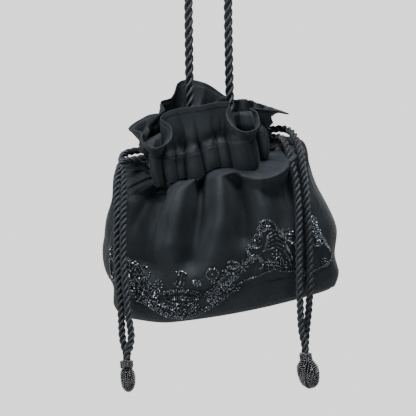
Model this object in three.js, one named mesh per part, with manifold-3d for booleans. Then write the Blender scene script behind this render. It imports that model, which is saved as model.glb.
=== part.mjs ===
// A satin evening reticule hanging by its rope strap: pouch, base, casing, ruffle, drawstrings, beaded ends.
// Millimetres, +Z up, the front towards -Y. The origin is where the strap's loop hangs, under its apex.
import * as THREE from "three";
import { mergeVertices } from "three/addons/utils/BufferGeometryUtils.js";
import Module from "manifold-3d";

// Cloth
const CLOTH = 2;
const RUFFLE_CLOTH = 1.6;
const SEAM_GAP = 0.3;
const HEADING_GAP = 0.45;

// Bag, in its own leaning frame: x across, y towards the back, z up, from the middle of its base
const LEAN = THREE.MathUtils.degToRad(10);
const BAG_ACROSS = 17;
const BAG_BACK = -9.8;
const BAG_DROP = 319.6;
const HALF_WIDTH = 98;
const HALF_DEPTH = 50;
const SEAM_RISE = 15;
const BASE_SAG = 7;
const BASE_EDGE = 12;
const BASE_FLOOR_SHARE = 0.7;

// Neck: the gathered ring that the casing follows
const NECK_SHIFT = 8;
const NECK_HALF_WIDTH = 52;
const NECK_HALF_DEPTH = 22;
const NECK_RISE = 152;
const NECK_DIP = 30;
const NECK_SLOPE = 0.06;
const NECK_CURVE = 1.25;

// Casing and its pleats
const CASING_HALF_HEIGHT = 9.8;
const CASING_HALF_THICK = 5.8;
const CASING_WALL = 1;
const CASING_PUFF = 0.8;
const SLOT_WIDTH = 19;
const SLOT_SLOPE = 0.72;
const PLEAT_DEPTH = 2.6;
const BACK_PLEATS = 11;

// Folds of the pouch and the ruffle's heading
const FOLD_DEPTH = 12;
const FOLD_FADE = 0.65;
const GATHER_DEPTH = 2.6;
const RUFFLE_HEIGHT = 45;
const RUFFLE_REACH = 60;
const KNEE_SHARE = 0.45;
const KNEE_RISE = 14.5;

// Cords and their beaded ends
const STRAP_DIAMETER = 7.8;
const DRAWSTRING_DIAMETER = 6.6;
const CORD_LEVEL = 4.3;
const RING_STEPS = 28;
const LEFT_END_WIDTH = 13;
const LEFT_END_HEIGHT = 25.5;
const RIGHT_END_WIDTH = 19;
const RIGHT_END_HEIGHT = 29;
const CAP_RADIUS = DRAWSTRING_DIAMETER + 0.6;
const CAP_FLAT = 0.7;
const CAP_SHARE = 0.8;
const BULB_TOP = 0.6;
const LEFT_END_LEAN = 0.06;
const RIGHT_END_LEAN = 0.15;

// Mesh fineness
const COLUMNS = 64;
const POUCH_ROWS = 14;
const BASE_ROWS = 4;
const RUFFLE_COLUMNS = 96;
const RUFFLE_ROWS = 5;
const CORD_SIDES = 8;
const CORD_STEP = 1.6;
const CORD_MOST_STEPS = 100;
const MERGE = 1e-4;
const SLIVER = 0.05;

// Sections of the pouch from its seam to the neck: rise as a share of the way up, width and depth
// as shares of the half width and half depth, and how square the section's corners are
const SECTIONS = [
  { rise: 0.0, wide: 1.0, deep: 0.84, square: 3.2 },
  { rise: 0.12, wide: 0.975, deep: 0.93, square: 2.9 },
  { rise: 0.29, wide: 1.0, deep: 1.0, square: 2.6 },
  { rise: 0.48, wide: 0.985, deep: 1.0, square: 2.4 },
  { rise: 0.65, wide: 0.935, deep: 0.95, square: 2.3 },
  { rise: 0.79, wide: 0.885, deep: 0.86, square: 2.2 },
  { rise: 0.91, wide: 0.835, deep: 0.74, square: 2.1 },
  { rise: 1.0, wide: 0.66, deep: 0.6, square: 2.0 },
];

// Front folds: a curved ridge (or, below zero, a valley) from its head by way of its bend to its
// tail, across as shares of the half width and up as shares of the neck's rise; its half width at
// the head and tail as shares of the half width, and its height as a share of the fold depth
const FOLDS = [
  { x0: -0.17, z0: 0.75, x1: -0.27, z1: 0.62, x2: -0.42, z2: 0.36, head: 0.13, tail: 0.2, high: 0.95 },
  { x0: 0.11, z0: 0.76, x1: 0.12, z1: 0.58, x2: -0.12, z2: 0.32, head: 0.14, tail: 0.22, high: 0.9 },
  { x0: -0.03, z0: 0.74, x1: -0.07, z1: 0.55, x2: -0.22, z2: 0.34, head: 0.045, tail: 0.1, high: -0.75 },
  { x0: -0.34, z0: 0.76, x1: -0.44, z1: 0.55, x2: -0.6, z2: 0.33, head: 0.06, tail: 0.12, high: -0.8 },
  { x0: 0.22, z0: 0.77, x1: 0.56, z1: 0.6, x2: 0.74, z2: 0.83, head: 0.055, tail: 0.075, high: 0.75 },
  { x0: 0.36, z0: 0.77, x1: 0.5, z1: 0.68, x2: 0.64, z2: 0.82, head: 0.09, tail: 0.08, high: -0.6 },
  { x0: 0.25, z0: 0.66, x1: 0.27, z1: 0.55, x2: 0.42, z2: 0.46, head: 0.06, tail: 0.08, high: -0.6 },
  { x0: 0.32, z0: 0.64, x1: 0.44, z1: 0.55, x2: 0.42, z2: 0.4, head: 0.07, tail: 0.13, high: 0.45 },
  { x0: -0.56, z0: 0.78, x1: -0.66, z1: 0.6, x2: -0.72, z2: 0.42, head: 0.12, tail: 0.18, high: 0.6 },
  { x0: -0.6, z0: 0.66, x1: -0.52, z1: 0.65, x2: -0.42, z2: 0.64, head: 0.04, tail: 0.03, high: -0.3 },
];

// The front pleats of the casing, round from its left end: place and half width as shares of a turn,
// and height as a share of the pleat's depth; the back has a plain run of them
const FRONT_PLEATS = [
  { turn: 0.535, half: 0.024, high: 0.8 },
  { turn: 0.59, half: 0.026, high: 1.0 },
  { turn: 0.641, half: 0.018, high: 0.9 },
  { turn: 0.671, half: 0.012, high: 0.5 },
  { turn: 0.706, half: 0.022, high: 1.15 },
  { turn: 0.748, half: 0.018, high: 1.0 },
  { turn: 0.783, half: 0.015, high: 0.8 },
  { turn: 0.84, half: 0.042, high: 1.4 },
  { turn: 0.905, half: 0.02, high: 0.8 },
  { turn: 0.95, half: 0.022, high: 0.7 },
];

// Where the neck is lifted or drawn down out of its plain dip, as a share of the dip
const LIFTS = [
  { turn: 0.605, half: 0.05, lift: -0.08 },
  { turn: 0.765, half: 0.043, lift: 0.15 },
  { turn: 0.85, half: 0.05, lift: -0.14 },
];

// The ruffle's rim, fold by fold round from the right: turn is where it springs from the neck,
// across is a share of the neck's half width, back of the ruffle's reach and up of its height
const RIM = [
  { turn: 0, across: 1.38, back: -0.03, up: 0 },
  { turn: 0.04, across: 1.18, back: 0.2, up: 0.09 },
  { turn: 0.09, across: 0.89, back: 0.33, up: 0.25 },
  { turn: 0.14, across: 0.75, back: 0.4, up: 0.38 },
  { turn: 0.19, across: 0.55, back: 0.43, up: 0.44 },
  { turn: 0.23, across: 0.4, back: 0.47, up: 0.58 },
  { turn: 0.27, across: 0.15, back: 0.5, up: 0.86 },
  { turn: 0.31, across: -0.16, back: 0.52, up: 1.01 },
  { turn: 0.34, across: -0.31, back: 0.45, up: 0.98 },
  { turn: 0.365, across: -0.47, back: 0.3, up: 0.72 },
  { turn: 0.39, across: -0.65, back: 0.22, up: 0.67 },
  { turn: 0.42, across: -0.63, back: 0.07, up: 0.47 },
  { turn: 0.45, across: -0.92, back: 0.23, up: 0.45 },
  { turn: 0.5, across: -1.26, back: 0.03, up: 0.27 },
  { turn: 0.53, across: -1.06, back: -0.27, up: 0.13 },
  { turn: 0.562, across: -1.08, back: -0.5, up: -0.04 },
  { turn: 0.582, across: -0.86, back: -0.72, up: -0.22 },
  { turn: 0.597, across: -0.62, back: -0.7, up: -0.12 },
  { turn: 0.61, across: -0.56, back: -0.55, up: 0.13 },
  { turn: 0.625, across: -0.7, back: -0.42, up: 0.34 },
  { turn: 0.655, across: -0.57, back: -0.37, up: 0.44 },
  { turn: 0.69, across: -0.4, back: -0.45, up: 0.46 },
  { turn: 0.745, across: -0.06, back: -0.5, up: 0.44 },
  { turn: 0.795, across: 0.31, back: -0.45, up: 0.44 },
  { turn: 0.82, across: 0.44, back: -0.36, up: 0.4 },
  { turn: 0.834, across: 0.36, back: -0.5, up: 0.2 },
  { turn: 0.845, across: 0.41, back: -0.74, up: -0.04 },
  { turn: 0.856, across: 0.62, back: -0.84, up: -0.22 },
  { turn: 0.868, across: 0.84, back: -0.74, up: -0.15 },
  { turn: 0.883, across: 0.86, back: -0.52, up: 0.12 },
  { turn: 0.92, across: 0.76, back: -0.33, up: 0.23 },
  { turn: 0.965, across: 1.1, back: -0.3, up: 0.12 },
];

// The strap's centreline in the hanging frame: up from inside the back of the neck, round, and down
const STRAP_ROUTE = [
  [-15.2, 0, -184], [-15.4, 0, -170], [-15.6, 0, -150], [-15.9, 0, -130], [-16.2, 0, -105], [-16.6, 0, -75],
  [-16.9, 0, -45], [-17, 0, -20], [-16.2, 0, -7], [-12.1, 0, -1], [-6.2, 0, 2.9], [0, 0, 3.9],
  [6.2, 0, 2.9], [12.1, 0, -1], [16.2, 0, -7], [17, 0, -20], [17.1, 0, -45], [17.4, 0, -75],
  [17.9, 0, -105], [18.4, 0, -130], [18.8, 0, -150], [19.1, 0, -170], [19.3, 0, -176],
];

// The drawstrings: up from the beaded end and in by the slot, then round inside the casing at a level
// above or below its middle, and out of the same slot and down
const LEFT_DRAWSTRING = {
  up: [
    [-68.4, -56.9, -364.2], [-68.5, -56.9, -360], [-70.2, -56, -354], [-72.2, -54.5, -345],
    [-73.1, -53.6, -328], [-74.6, -52.4, -310], [-76.1, -51.9, -289], [-77, -51.4, -268],
    [-77, -48.9, -242], [-77.5, -39.6, -221], [-76.3, -29.6, -206.6], [-73.3, -21, -198.2],
    [-67.8, -16, -195.8], [-59.9, -14.7, -194.4],
  ],
  from: 0.536,
  to: 1.464,
  level: CORD_LEVEL,
  down: [
    [-61.2, -4.9, -187.1], [-67.4, -6, -188.4], [-72.8, -11.8, -191.8], [-73.4, -22, -199.9],
    [-71.6, -34.2, -212.5], [-71.3, -45.6, -229.5], [-71.6, -53.8, -246.5], [-71.7, -56.4, -268],
    [-70.8, -57, -289], [-68.8, -57.5, -310], [-66.8, -58.1, -328], [-64.6, -59, -345],
    [-66, -61.8, -354], [-68.1, -64, -360], [-68.2, -64, -364.2],
  ],
};
const RIGHT_DRAWSTRING = {
  up: [
    [82.2, -51.8, -358], [82.2, -51.8, -352], [83, -52.3, -340], [85.1, -52.4, -320],
    [86, -52, -299], [85.6, -51.5, -270], [84.2, -50.6, -246], [82.5, -48, -222],
    [80.4, -39.9, -201], [76.8, -27, -182.8], [71.2, -14, -171.6], [64.6, -6.6, -168.4],
    [57.4, -4.9, -168.7],
  ],
  from: 0.036,
  to: 0.964,
  level: -CORD_LEVEL,
  down: [
    [58.6, -14.7, -175.7], [62.4, -19.4, -176.6], [66, -28.8, -182.4], [70.2, -39.9, -196],
    [74.3, -48.6, -214], [76.2, -54.1, -235], [76.7, -56.6, -257], [76.8, -57, -285],
    [77.5, -57, -313], [79, -57.5, -340], [81, -57.9, -349], [81.8, -58.4, -354],
    [81.8, -58.4, -358],
  ],
};

const wasm = await Module();
wasm.setup();

// Shares and smooth steps
function smooth(edge0, edge1, value) {
  return THREE.MathUtils.smoothstep(value, edge0, edge1);
}

function signedPower(value, power) {
  return Math.sign(value) * Math.abs(value) ** power;
}

function tableAt(rows, key, at, column) {
  let next = rows.findIndex((row) => row[key] >= at);
  if (next <= 0) {
    next = next === 0 ? 1 : rows.length - 1;
  }
  const low = rows[next - 1];
  const high = rows[next];
  const share = THREE.MathUtils.clamp((at - low[key]) / (high[key] - low[key]), 0, 1);
  const before = rows[Math.max(next - 2, 0)];
  const after = rows[Math.min(next + 1, rows.length - 1)];
  const slopeLow = (high[column] - before[column]) / (high[key] - before[key]);
  const slopeHigh = (after[column] - low[column]) / (after[key] - low[key]);
  const span = high[key] - low[key];
  const square = share * share;
  const cube = square * share;
  return low[column] * (2 * cube - 3 * square + 1) + high[column] * (3 * square - 2 * cube)
    + span * (slopeLow * (cube - 2 * square + share) + slopeHigh * (cube - square));
}

// Neck ring: its centreline, its outward direction and its pleats
function neckCentre(place) {
  const turn = THREE.MathUtils.euclideanModulo(place, 1);
  const angle = turn * 2 * Math.PI;
  const across = NECK_HALF_WIDTH * Math.cos(angle);
  let dip = ((1 - Math.sin(angle)) / 2) ** NECK_CURVE;
  for (const lift of LIFTS) {
    dip -= lift.lift * Math.exp(-(((turn - lift.turn) / lift.half) ** 2));
  }
  const rise = NECK_RISE + NECK_SLOPE * across - NECK_DIP * dip;
  return new THREE.Vector3(NECK_SHIFT + across, NECK_HALF_DEPTH * Math.sin(angle), rise);
}

function neckOutward(turn) {
  const angle = turn * 2 * Math.PI;
  return new THREE.Vector3(Math.cos(angle) / NECK_HALF_WIDTH, Math.sin(angle) / NECK_HALF_DEPTH, 0).normalize();
}

const backPleats = Array.from({ length: BACK_PLEATS }, (_, place) => (
  { turn: 0.035 + 0.43 * place / (BACK_PLEATS - 1), half: 0.0215, high: place % 2 ? 1.05 : 0.8 }
));

function pleatShare(turn) {
  let share = 0;
  for (const pleat of [...FRONT_PLEATS, ...backPleats]) {
    const away = Math.abs(THREE.MathUtils.euclideanModulo(turn - pleat.turn + 0.5, 1) - 0.5) / pleat.half;
    share = Math.max(share, pleat.high * (1 - Math.min(away, 1) ** 2.6));
  }
  return share;
}

function pleatRelief(turn) {
  return PLEAT_DEPTH * pleatShare(turn);
}

function neckFace(turn, up) {
  const out = CASING_HALF_THICK + pleatRelief(turn);
  const point = neckCentre(turn).addScaledVector(neckOutward(turn), out);
  point.z += up;
  return point;
}

// Height of the front folds at a place on the front
function foldHeight(x, z) {
  let total = 0;
  for (const fold of FOLDS) {
    const steps = 10;
    let nearest = Infinity;
    let share = 0;
    for (let step = 0; step <= steps; step += 1) {
      const t = step / steps;
      const a = (1 - t) ** 2;
      const b = 2 * t * (1 - t);
      const c = t ** 2;
      const fx = HALF_WIDTH * (a * fold.x0 + b * fold.x1 + c * fold.x2);
      const fz = NECK_RISE * (a * fold.z0 + b * fold.z1 + c * fold.z2);
      const distance = Math.hypot(x - fx, z - fz);
      if (distance < nearest) {
        nearest = distance;
        share = t;
      }
    }
    const half = HALF_WIDTH * THREE.MathUtils.lerp(fold.head, fold.tail, share);
    const fade = 1 - FOLD_FADE * smooth(0.45, 1, share);
    total += FOLD_DEPTH * fold.high * fade * Math.exp(-((nearest / half) ** 2));
  }
  return total;
}

// Outer face of the pouch: turn runs round from the right by the back, rise from the seam to the neck
function pouchFace(turn, rise) {
  const angle = turn * 2 * Math.PI;
  const neck = neckFace(turn, -CASING_HALF_HEIGHT - SEAM_GAP);
  const wide = HALF_WIDTH * tableAt(SECTIONS, "rise", rise, "wide");
  const deep = HALF_DEPTH * tableAt(SECTIONS, "rise", rise, "deep");
  const round = 2 / tableAt(SECTIONS, "rise", rise, "square");
  const shift = NECK_SHIFT * smooth(0.6, 1, rise);
  const x = shift + wide * signedPower(Math.cos(angle), round);
  const y = deep * signedPower(Math.sin(angle), round);
  const z = THREE.MathUtils.lerp(SEAM_RISE + SEAM_GAP, neck.z, rise);
  const point = new THREE.Vector3(x, y, z);
  const outward = new THREE.Vector3(Math.cos(angle) / wide, Math.sin(angle) / deep, 0).normalize();
  const front = smooth(0.1, 0.7, -Math.sin(angle));
  const loose = smooth(0, 0.12, rise) * (1 - smooth(0.93, 1, rise));
  const gather = GATHER_DEPTH * smooth(0.45, 0.95, rise) * (2 * pleatShare(turn) - 1);
  point.addScaledVector(outward, loose * (front * foldHeight(x, z) + gather));
  return point.lerp(neck, smooth(0.9, 1, rise));
}

// Base: a shallow tray, from the middle of its sagging floor out to the seam
function baseFace(turn, reach) {
  const angle = turn * 2 * Math.PI;
  const seam = SECTIONS[0];
  const round = 2 / seam.square;
  const floor = Math.min(reach / BASE_FLOOR_SHARE, 1);
  const bend = Math.max((reach - BASE_FLOOR_SHARE) / (1 - BASE_FLOOR_SHARE), 0) * Math.PI / 2;
  const inset = BASE_EDGE * (1 - Math.sin(bend));
  const wide = (HALF_WIDTH * seam.wide - inset) * floor;
  const deep = (HALF_DEPTH * seam.deep - inset) * floor;
  const x = wide * signedPower(Math.cos(angle), round);
  const y = deep * signedPower(Math.sin(angle), round);
  const sag = -BASE_SAG * (1 - (x / HALF_WIDTH) ** 2);
  const z = THREE.MathUtils.lerp(sag, SEAM_RISE, 1 - Math.cos(bend));
  return new THREE.Vector3(x, y, z);
}

// Ruffle: each column springs up from the casing and bends over to its place on the rim
const rimCurve = new THREE.CatmullRomCurve3(RIM.map((fold) => new THREE.Vector3(
  NECK_SHIFT + NECK_HALF_WIDTH * fold.across,
  RUFFLE_REACH * fold.back,
  NECK_RISE + RUFFLE_HEIGHT * fold.up,
)), true, "centripetal");

function rimTurn(place) {
  const step = place * RIM.length;
  const low = Math.floor(step) % RIM.length;
  const next = RIM[(low + 1) % RIM.length].turn + (low + 1 >= RIM.length ? 1 : 0);
  return THREE.MathUtils.lerp(RIM[low].turn, next, step - Math.floor(step));
}

function ruffleFace(place, rise) {
  const foot = neckFace(rimTurn(place), CASING_HALF_HEIGHT + HEADING_GAP);
  const rim = rimCurve.getPoint(place);
  const knee = foot.clone().lerp(rim, KNEE_SHARE);
  const upright = smooth(-0.3, 0.5, (rim.z - NECK_RISE) / RUFFLE_HEIGHT);
  knee.z = Math.max(foot.z + KNEE_RISE * upright, knee.z);
  const a = (1 - rise) ** 2;
  const b = 2 * rise * (1 - rise);
  const c = rise ** 2;
  return foot.multiplyScalar(a).addScaledVector(knee, b).addScaledVector(rim, c);
}

// A closed wall from a grid of points on its outer face; an apex closes the first row to a point,
// and a level end keeps the wall's inner edge as high as its outer one
function clothWall(columns, rows, face, thickness, { apex = false, levelTop = false }) {
  const outer = [];
  for (let row = 0; row <= rows; row += 1) {
    for (let column = 0; column < columns; column += 1) {
      outer.push(face(column / columns, row / rows));
    }
  }
  const at = (row, column) => outer[row * columns + (column + columns) % columns];
  const inner = outer.map((point, place) => {
    const row = Math.floor(place / columns);
    const column = place % columns;
    const round = at(row, column + 1).clone().sub(at(row, column - 1));
    const up = at(Math.min(row + 1, rows), column).clone().sub(at(Math.max(row - 1, 0), column));
    const normal = round.cross(up).normalize();
    if (apex && row === 0) {
      normal.set(0, 0, -1);
    } else if (row === 0 || (levelTop && row === rows)) {
      normal.setZ(0).normalize();
    }
    return point.clone().addScaledVector(normal, -thickness);
  });
  const positions = [...outer, ...inner].flatMap((point) => point.toArray());
  const half = outer.length;
  const index = [];
  const quad = (a, b, c, d) => index.push(a, b, c, a, c, d);
  for (let column = 0; column < columns; column += 1) {
    const next = (column + 1) % columns;
    for (let row = 0; row < rows; row += 1) {
      const low = row * columns;
      const high = low + columns;
      quad(low + column, low + next, high + next, high + column);
      quad(half + low + next, half + low + column, half + high + column, half + high + next);
    }
    const top = rows * columns;
    quad(top + column, top + next, half + top + next, half + top + column);
    if (!apex) {
      quad(next, column, half + column, half + next);
    }
  }
  return closedGeometry(positions, index);
}

// Merged, indexed geometry with no collapsed triangles
function closedGeometry(positions, index) {
  const geometry = new THREE.BufferGeometry();
  geometry.setAttribute("position", new THREE.Float32BufferAttribute(positions, 3));
  geometry.setIndex(index);
  const merged = mergeVertices(geometry, MERGE);
  const corners = merged.index.array;
  const kept = [];
  for (let i = 0; i < corners.length; i += 3) {
    const [a, b, c] = [corners[i], corners[i + 1], corners[i + 2]];
    if (a !== b && b !== c && a !== c) {
      kept.push(a, b, c);
    }
  }
  merged.setIndex(kept);
  merged.computeVertexNormals();
  return merged;
}

// A closed ring from a section that is swept round the neck, with no column right at a side
function neckRing(columns, section) {
  const positions = [];
  const index = [];
  let sides = 0;
  for (let column = 0; column < columns; column += 1) {
    const turn = (column + 0.5) / columns;
    const points = section(turn);
    sides = points.length;
    for (const [out, up] of points) {
      const point = neckCentre(turn).addScaledVector(neckOutward(turn), out);
      positions.push(point.x, point.y, point.z + up);
    }
  }
  for (let column = 0; column < columns; column += 1) {
    const next = (column + 1) % columns;
    for (let side = 0; side < sides; side += 1) {
      const beside = (side + 1) % sides;
      const [a, b] = [column * sides + side, next * sides + side];
      const [c, d] = [next * sides + beside, column * sides + beside];
      index.push(a, b, c, a, c, d);
    }
  }
  return closedGeometry(positions, index);
}

function toSolid(geometry) {
  const bare = geometry.clone();
  bare.deleteAttribute("normal");
  bare.deleteAttribute("uv");
  const merged = mergeVertices(bare, MERGE);
  return new wasm.Manifold(new wasm.Mesh({
    numProp: 3,
    vertProperties: new Float32Array(merged.attributes.position.array),
    triVerts: new Uint32Array(merged.index.array),
  }));
}

function toGeometry(solid) {
  const mesh = solid.getMesh();
  const geometry = new THREE.BufferGeometry();
  geometry.setAttribute("position", new THREE.BufferAttribute(new Float32Array(mesh.vertProperties), 3));
  geometry.setIndex(new THREE.BufferAttribute(new Uint32Array(mesh.triVerts), 1));
  geometry.computeVertexNormals();
  return geometry;
}

// Casing: a hollow ring of cloth with a slot in its outer wall at each side
function casingShell() {
  const outside = (turn) => {
    const face = CASING_HALF_THICK + pleatRelief(turn);
    const [thick, high] = [CASING_HALF_THICK, CASING_HALF_HEIGHT];
    const puff = face + CASING_PUFF;
    return [[-thick, -high], [face, -high], [puff, -high / 2], [puff, high / 2], [face, high], [-thick, high]];
  };
  const inside = () => {
    const [thick, high] = [CASING_HALF_THICK - CASING_WALL, CASING_HALF_HEIGHT - CASING_WALL];
    return [[-thick, -high], [thick, -high], [thick, high], [-thick, high]];
  };
  let shell = toSolid(neckRing(COLUMNS, outside)).subtract(toSolid(neckRing(COLUMNS, inside)));
  for (const side of [0, 0.5]) {
    const slotHeight = 2 * (CASING_HALF_HEIGHT - CASING_WALL);
    const slot = new THREE.BoxGeometry(4 * CASING_HALF_THICK, SLOT_WIDTH, slotHeight);
    const middle = neckCentre(side).addScaledVector(neckOutward(side), 2 * CASING_HALF_THICK);
    slot.applyMatrix4(new THREE.Matrix4().makeShear(0, 0, 0, SLOT_SLOPE, 0, 0));
    slot.translate(middle.x, middle.y, middle.z);
    shell = shell.subtract(toSolid(slot));
  }
  return shell;
}

// Half of the casing, in front of the side seams or behind them
function casingHalf(shell, side) {
  const reach = 4 * NECK_HALF_WIDTH;
  const half = new THREE.BoxGeometry(reach, reach, reach);
  half.translate(0, side * (reach + SEAM_GAP) / 2, NECK_RISE);
  return toGeometry(shell.intersect(toSolid(half)).simplify(SLIVER));
}

function routePoints(rows) {
  return rows.map((row) => new THREE.Vector3(...row));
}

// A drawstring's route: up, round inside the casing, and down
function drawstringRoute({ up, from, to, level, down }) {
  const ring = Array.from({ length: RING_STEPS + 1 }, (_, step) => {
    const point = neckCentre(THREE.MathUtils.lerp(from, to, step / RING_STEPS));
    point.z += level;
    return point.applyMatrix4(bag.matrix);
  });
  return [...routePoints(up), ...ring, ...routePoints(down)];
}

// A cord: a round tube along a smooth curve through its points
function cordGeometry(points, diameter) {
  const curve = new THREE.CatmullRomCurve3(points, false, "centripetal");
  const section = new THREE.Shape();
  for (let side = 0; side < CORD_SIDES; side += 1) {
    const angle = (side + 0.5) / CORD_SIDES * 2 * Math.PI;
    const corner = [diameter / 2 * Math.cos(angle), diameter / 2 * Math.sin(angle)];
    if (side === 0) {
      section.moveTo(...corner);
    } else {
      section.lineTo(...corner);
    }
  }
  section.closePath();
  const steps = Math.min(CORD_MOST_STEPS, Math.round(curve.getLength() / (CORD_STEP * diameter)));
  return new THREE.ExtrudeGeometry(section, { steps, extrudePath: curve, bevelEnabled: false });
}

// A beaded end: a wound cap that the cords sink into, a neck, and the bulb under it
const BULB = [
  { radius: 0.0, up: 1.0 },
  { radius: 0.56, up: 1.0 },
  { radius: 0.66, up: 0.95 },
  { radius: 0.66, up: 0.84 },
  { radius: 0.86, up: 0.74 },
  { radius: 1.0, up: 0.52 },
  { radius: 0.97, up: 0.3 },
  { radius: 0.78, up: 0.11 },
  { radius: 0.42, up: 0.02 },
  { radius: 0.0, up: 0.0 },
];

function beadedEndGeometry(width, height, lean) {
  const profile = BULB.map((level) => {
    const cap = level.up > CAP_SHARE && level.radius > 0 ? CAP_RADIUS : 0;
    return new THREE.Vector2(Math.max(level.radius * width / 2, cap), -height * (1 - level.up));
  });
  const sideways = new THREE.Matrix4().makeShear(0, 0, 0, 0, -lean, 0);
  const bulb = new THREE.LatheGeometry(profile.reverse(), 16).rotateX(Math.PI / 2);
  const place = bulb.attributes.position;
  for (let corner = 0; corner < place.count; corner += 1) {
    const narrowed = smooth(-height * (1 - BULB_TOP), -height * (1 - CAP_SHARE), place.getZ(corner));
    const flat = THREE.MathUtils.lerp(1, CAP_FLAT, narrowed);
    place.setX(corner, place.getX(corner) * flat);
  }
  return bulb.applyMatrix4(sideways);
}

function named(name, geometry, material) {
  const mesh = new THREE.Mesh(geometry, material);
  mesh.name = name;
  return mesh;
}

// Where a drawstring's two ends meet its beaded end
function endPlace(points) {
  const place = points[0].clone().add(points[points.length - 1]).multiplyScalar(0.5);
  place.z -= SEAM_GAP;
  return place;
}

const satin = () => new THREE.MeshStandardMaterial({ color: 0x23282c, roughness: 0.45, metalness: 0 });
const jet = () => new THREE.MeshStandardMaterial({ color: 0x1c2026, roughness: 0.25, metalness: 0 });
const rope = () => new THREE.MeshStandardMaterial({ color: 0x2d323b, roughness: 0.4, metalness: 0 });

const bag = new THREE.Group();
bag.position.set(BAG_ACROSS, BAG_BACK, -BAG_DROP);
bag.rotation.y = -LEAN;
bag.updateMatrix();
bag.add(named("pouch", clothWall(COLUMNS, POUCH_ROWS, pouchFace, CLOTH, { levelTop: true }), satin()));
const baseWall = clothWall(COLUMNS, BASE_ROWS, baseFace, CLOTH, { apex: true, levelTop: true });
bag.add(named("base_panel", baseWall, satin()));
const shell = casingShell();
bag.add(named("casing_front", casingHalf(shell, -1), satin()));
bag.add(named("casing_back", casingHalf(shell, 1), satin()));
bag.add(named("ruffle", clothWall(RUFFLE_COLUMNS, RUFFLE_ROWS, ruffleFace, RUFFLE_CLOTH, {}), satin()));

const reticule = new THREE.Group();
reticule.add(bag);
reticule.add(named("strap_cord", cordGeometry(routePoints(STRAP_ROUTE), STRAP_DIAMETER), rope()));

const leftRoute = drawstringRoute(LEFT_DRAWSTRING);
const leftEnd = named("left_beaded_end", beadedEndGeometry(LEFT_END_WIDTH, LEFT_END_HEIGHT, LEFT_END_LEAN), jet());
leftEnd.position.copy(endPlace(leftRoute));
reticule.add(named("left_drawstring", cordGeometry(leftRoute, DRAWSTRING_DIAMETER), rope()), leftEnd);

const rightRoute = drawstringRoute(RIGHT_DRAWSTRING);
const rightEnd = named("right_beaded_end", beadedEndGeometry(RIGHT_END_WIDTH, RIGHT_END_HEIGHT, RIGHT_END_LEAN), jet());
rightEnd.position.copy(endPlace(rightRoute));
reticule.add(named("right_drawstring", cordGeometry(rightRoute, DRAWSTRING_DIAMETER), rope()), rightEnd);

export default reticule;
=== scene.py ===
# A satin evening reticule on its rope strap: gathered pouch, boxed base, casing, ruffled heading,
# two drawstrings with beaded ends, and a scalloped band of bead embroidery. Metres, +Z up.
import math

import bpy
import numpy as np
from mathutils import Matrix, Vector, noise
from mathutils.bvhtree import BVHTree


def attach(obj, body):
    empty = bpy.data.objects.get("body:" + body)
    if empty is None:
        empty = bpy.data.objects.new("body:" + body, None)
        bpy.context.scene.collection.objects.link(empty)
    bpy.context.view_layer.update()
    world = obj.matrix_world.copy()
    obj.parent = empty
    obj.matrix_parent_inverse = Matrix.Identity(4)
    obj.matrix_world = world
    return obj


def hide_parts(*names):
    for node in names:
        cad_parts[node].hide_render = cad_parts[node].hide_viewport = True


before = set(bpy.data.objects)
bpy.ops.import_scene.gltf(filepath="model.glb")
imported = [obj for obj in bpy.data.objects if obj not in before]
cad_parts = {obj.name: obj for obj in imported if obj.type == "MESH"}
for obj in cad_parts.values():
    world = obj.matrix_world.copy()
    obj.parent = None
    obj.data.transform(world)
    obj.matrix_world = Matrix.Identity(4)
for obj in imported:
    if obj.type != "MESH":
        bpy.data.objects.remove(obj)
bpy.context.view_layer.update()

# Sizes are millimetres in the bag's own leaning frame, and MM turns them into metres
MM = 0.001
LEAN = math.radians(10)
BAG_PLACE = np.array([17.0, -9.8, -319.6])
HALF_WIDTH = 98
HALF_DEPTH = 50
SEAM_RISE = 15
SEAM_GAP = 0.3
BASE_SAG = 7
BASE_EDGE = 12
BASE_FLOOR_SHARE = 0.7
NECK_SHIFT = 8
NECK_HALF_WIDTH = 52
NECK_HALF_DEPTH = 22
NECK_RISE = 152
NECK_DIP = 30
NECK_SLOPE = 0.06
NECK_CURVE = 1.25
CASING_HALF_HEIGHT = 9.8
CASING_HALF_THICK = 5.8
CASING_WALL = 1.0
CASING_PUFF = 1.5
CASING_EDGE = 0.75
TUCK = 1.4
NECK_TUCK = 2.2
HEADING_GAP = 0.45
SLOT_HALF_WIDTH = 9.5
PLEAT_DEPTH = 6.6
PLEAT_CREASE = 2.0
PLEAT_DROP = 5.0
FOLD_DEPTH = 14.5
FOLD_FADE = 0.2
GATHER_DEPTH = 2.6
RUFFLE_GATHER = 2.0
RUFFLE_FOLD = 1.0
FOOT_SINK = 2.6
RUFFLE_TIP_HOLD = 0.9
RUFFLE_HEIGHT = 45
RUFFLE_REACH = 60
KNEE_SHARE = 0.45
KNEE_RISE = 14.5
CLOTH = 1.6
RUFFLE_CLOTH = 1.1
HEM = 4.2
HEM_STEP = 0.45
WRINKLE = 0.55
CORNER_LIFT = np.array([3.0, 0.0, 6.0])
UP = np.array([0.0, 0.0, 1.0])
UNDULATION = 2.0
STRAP_DIAMETER = 7.8
STRAP_LAY = 24
DRAWSTRING_DIAMETER = 6.6
DRAWSTRING_LAY = 16.5
CORD_LEVEL = 4.3
RING_STEPS = 28

# The photograph's frame: 416 pixels across, 0.85 mm each at the bag, the strap's apex 70 px above it
PIXELS = 416
PIXEL = 0.85
PIXEL_CENTRE = PIXELS / 2
APEX_ABOVE = 70
CAMERA_DISTANCE = 3000
CAMERA_PLANE = -30
SENSOR = 36
CAMERA_CLIP_METRES = 30

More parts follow.
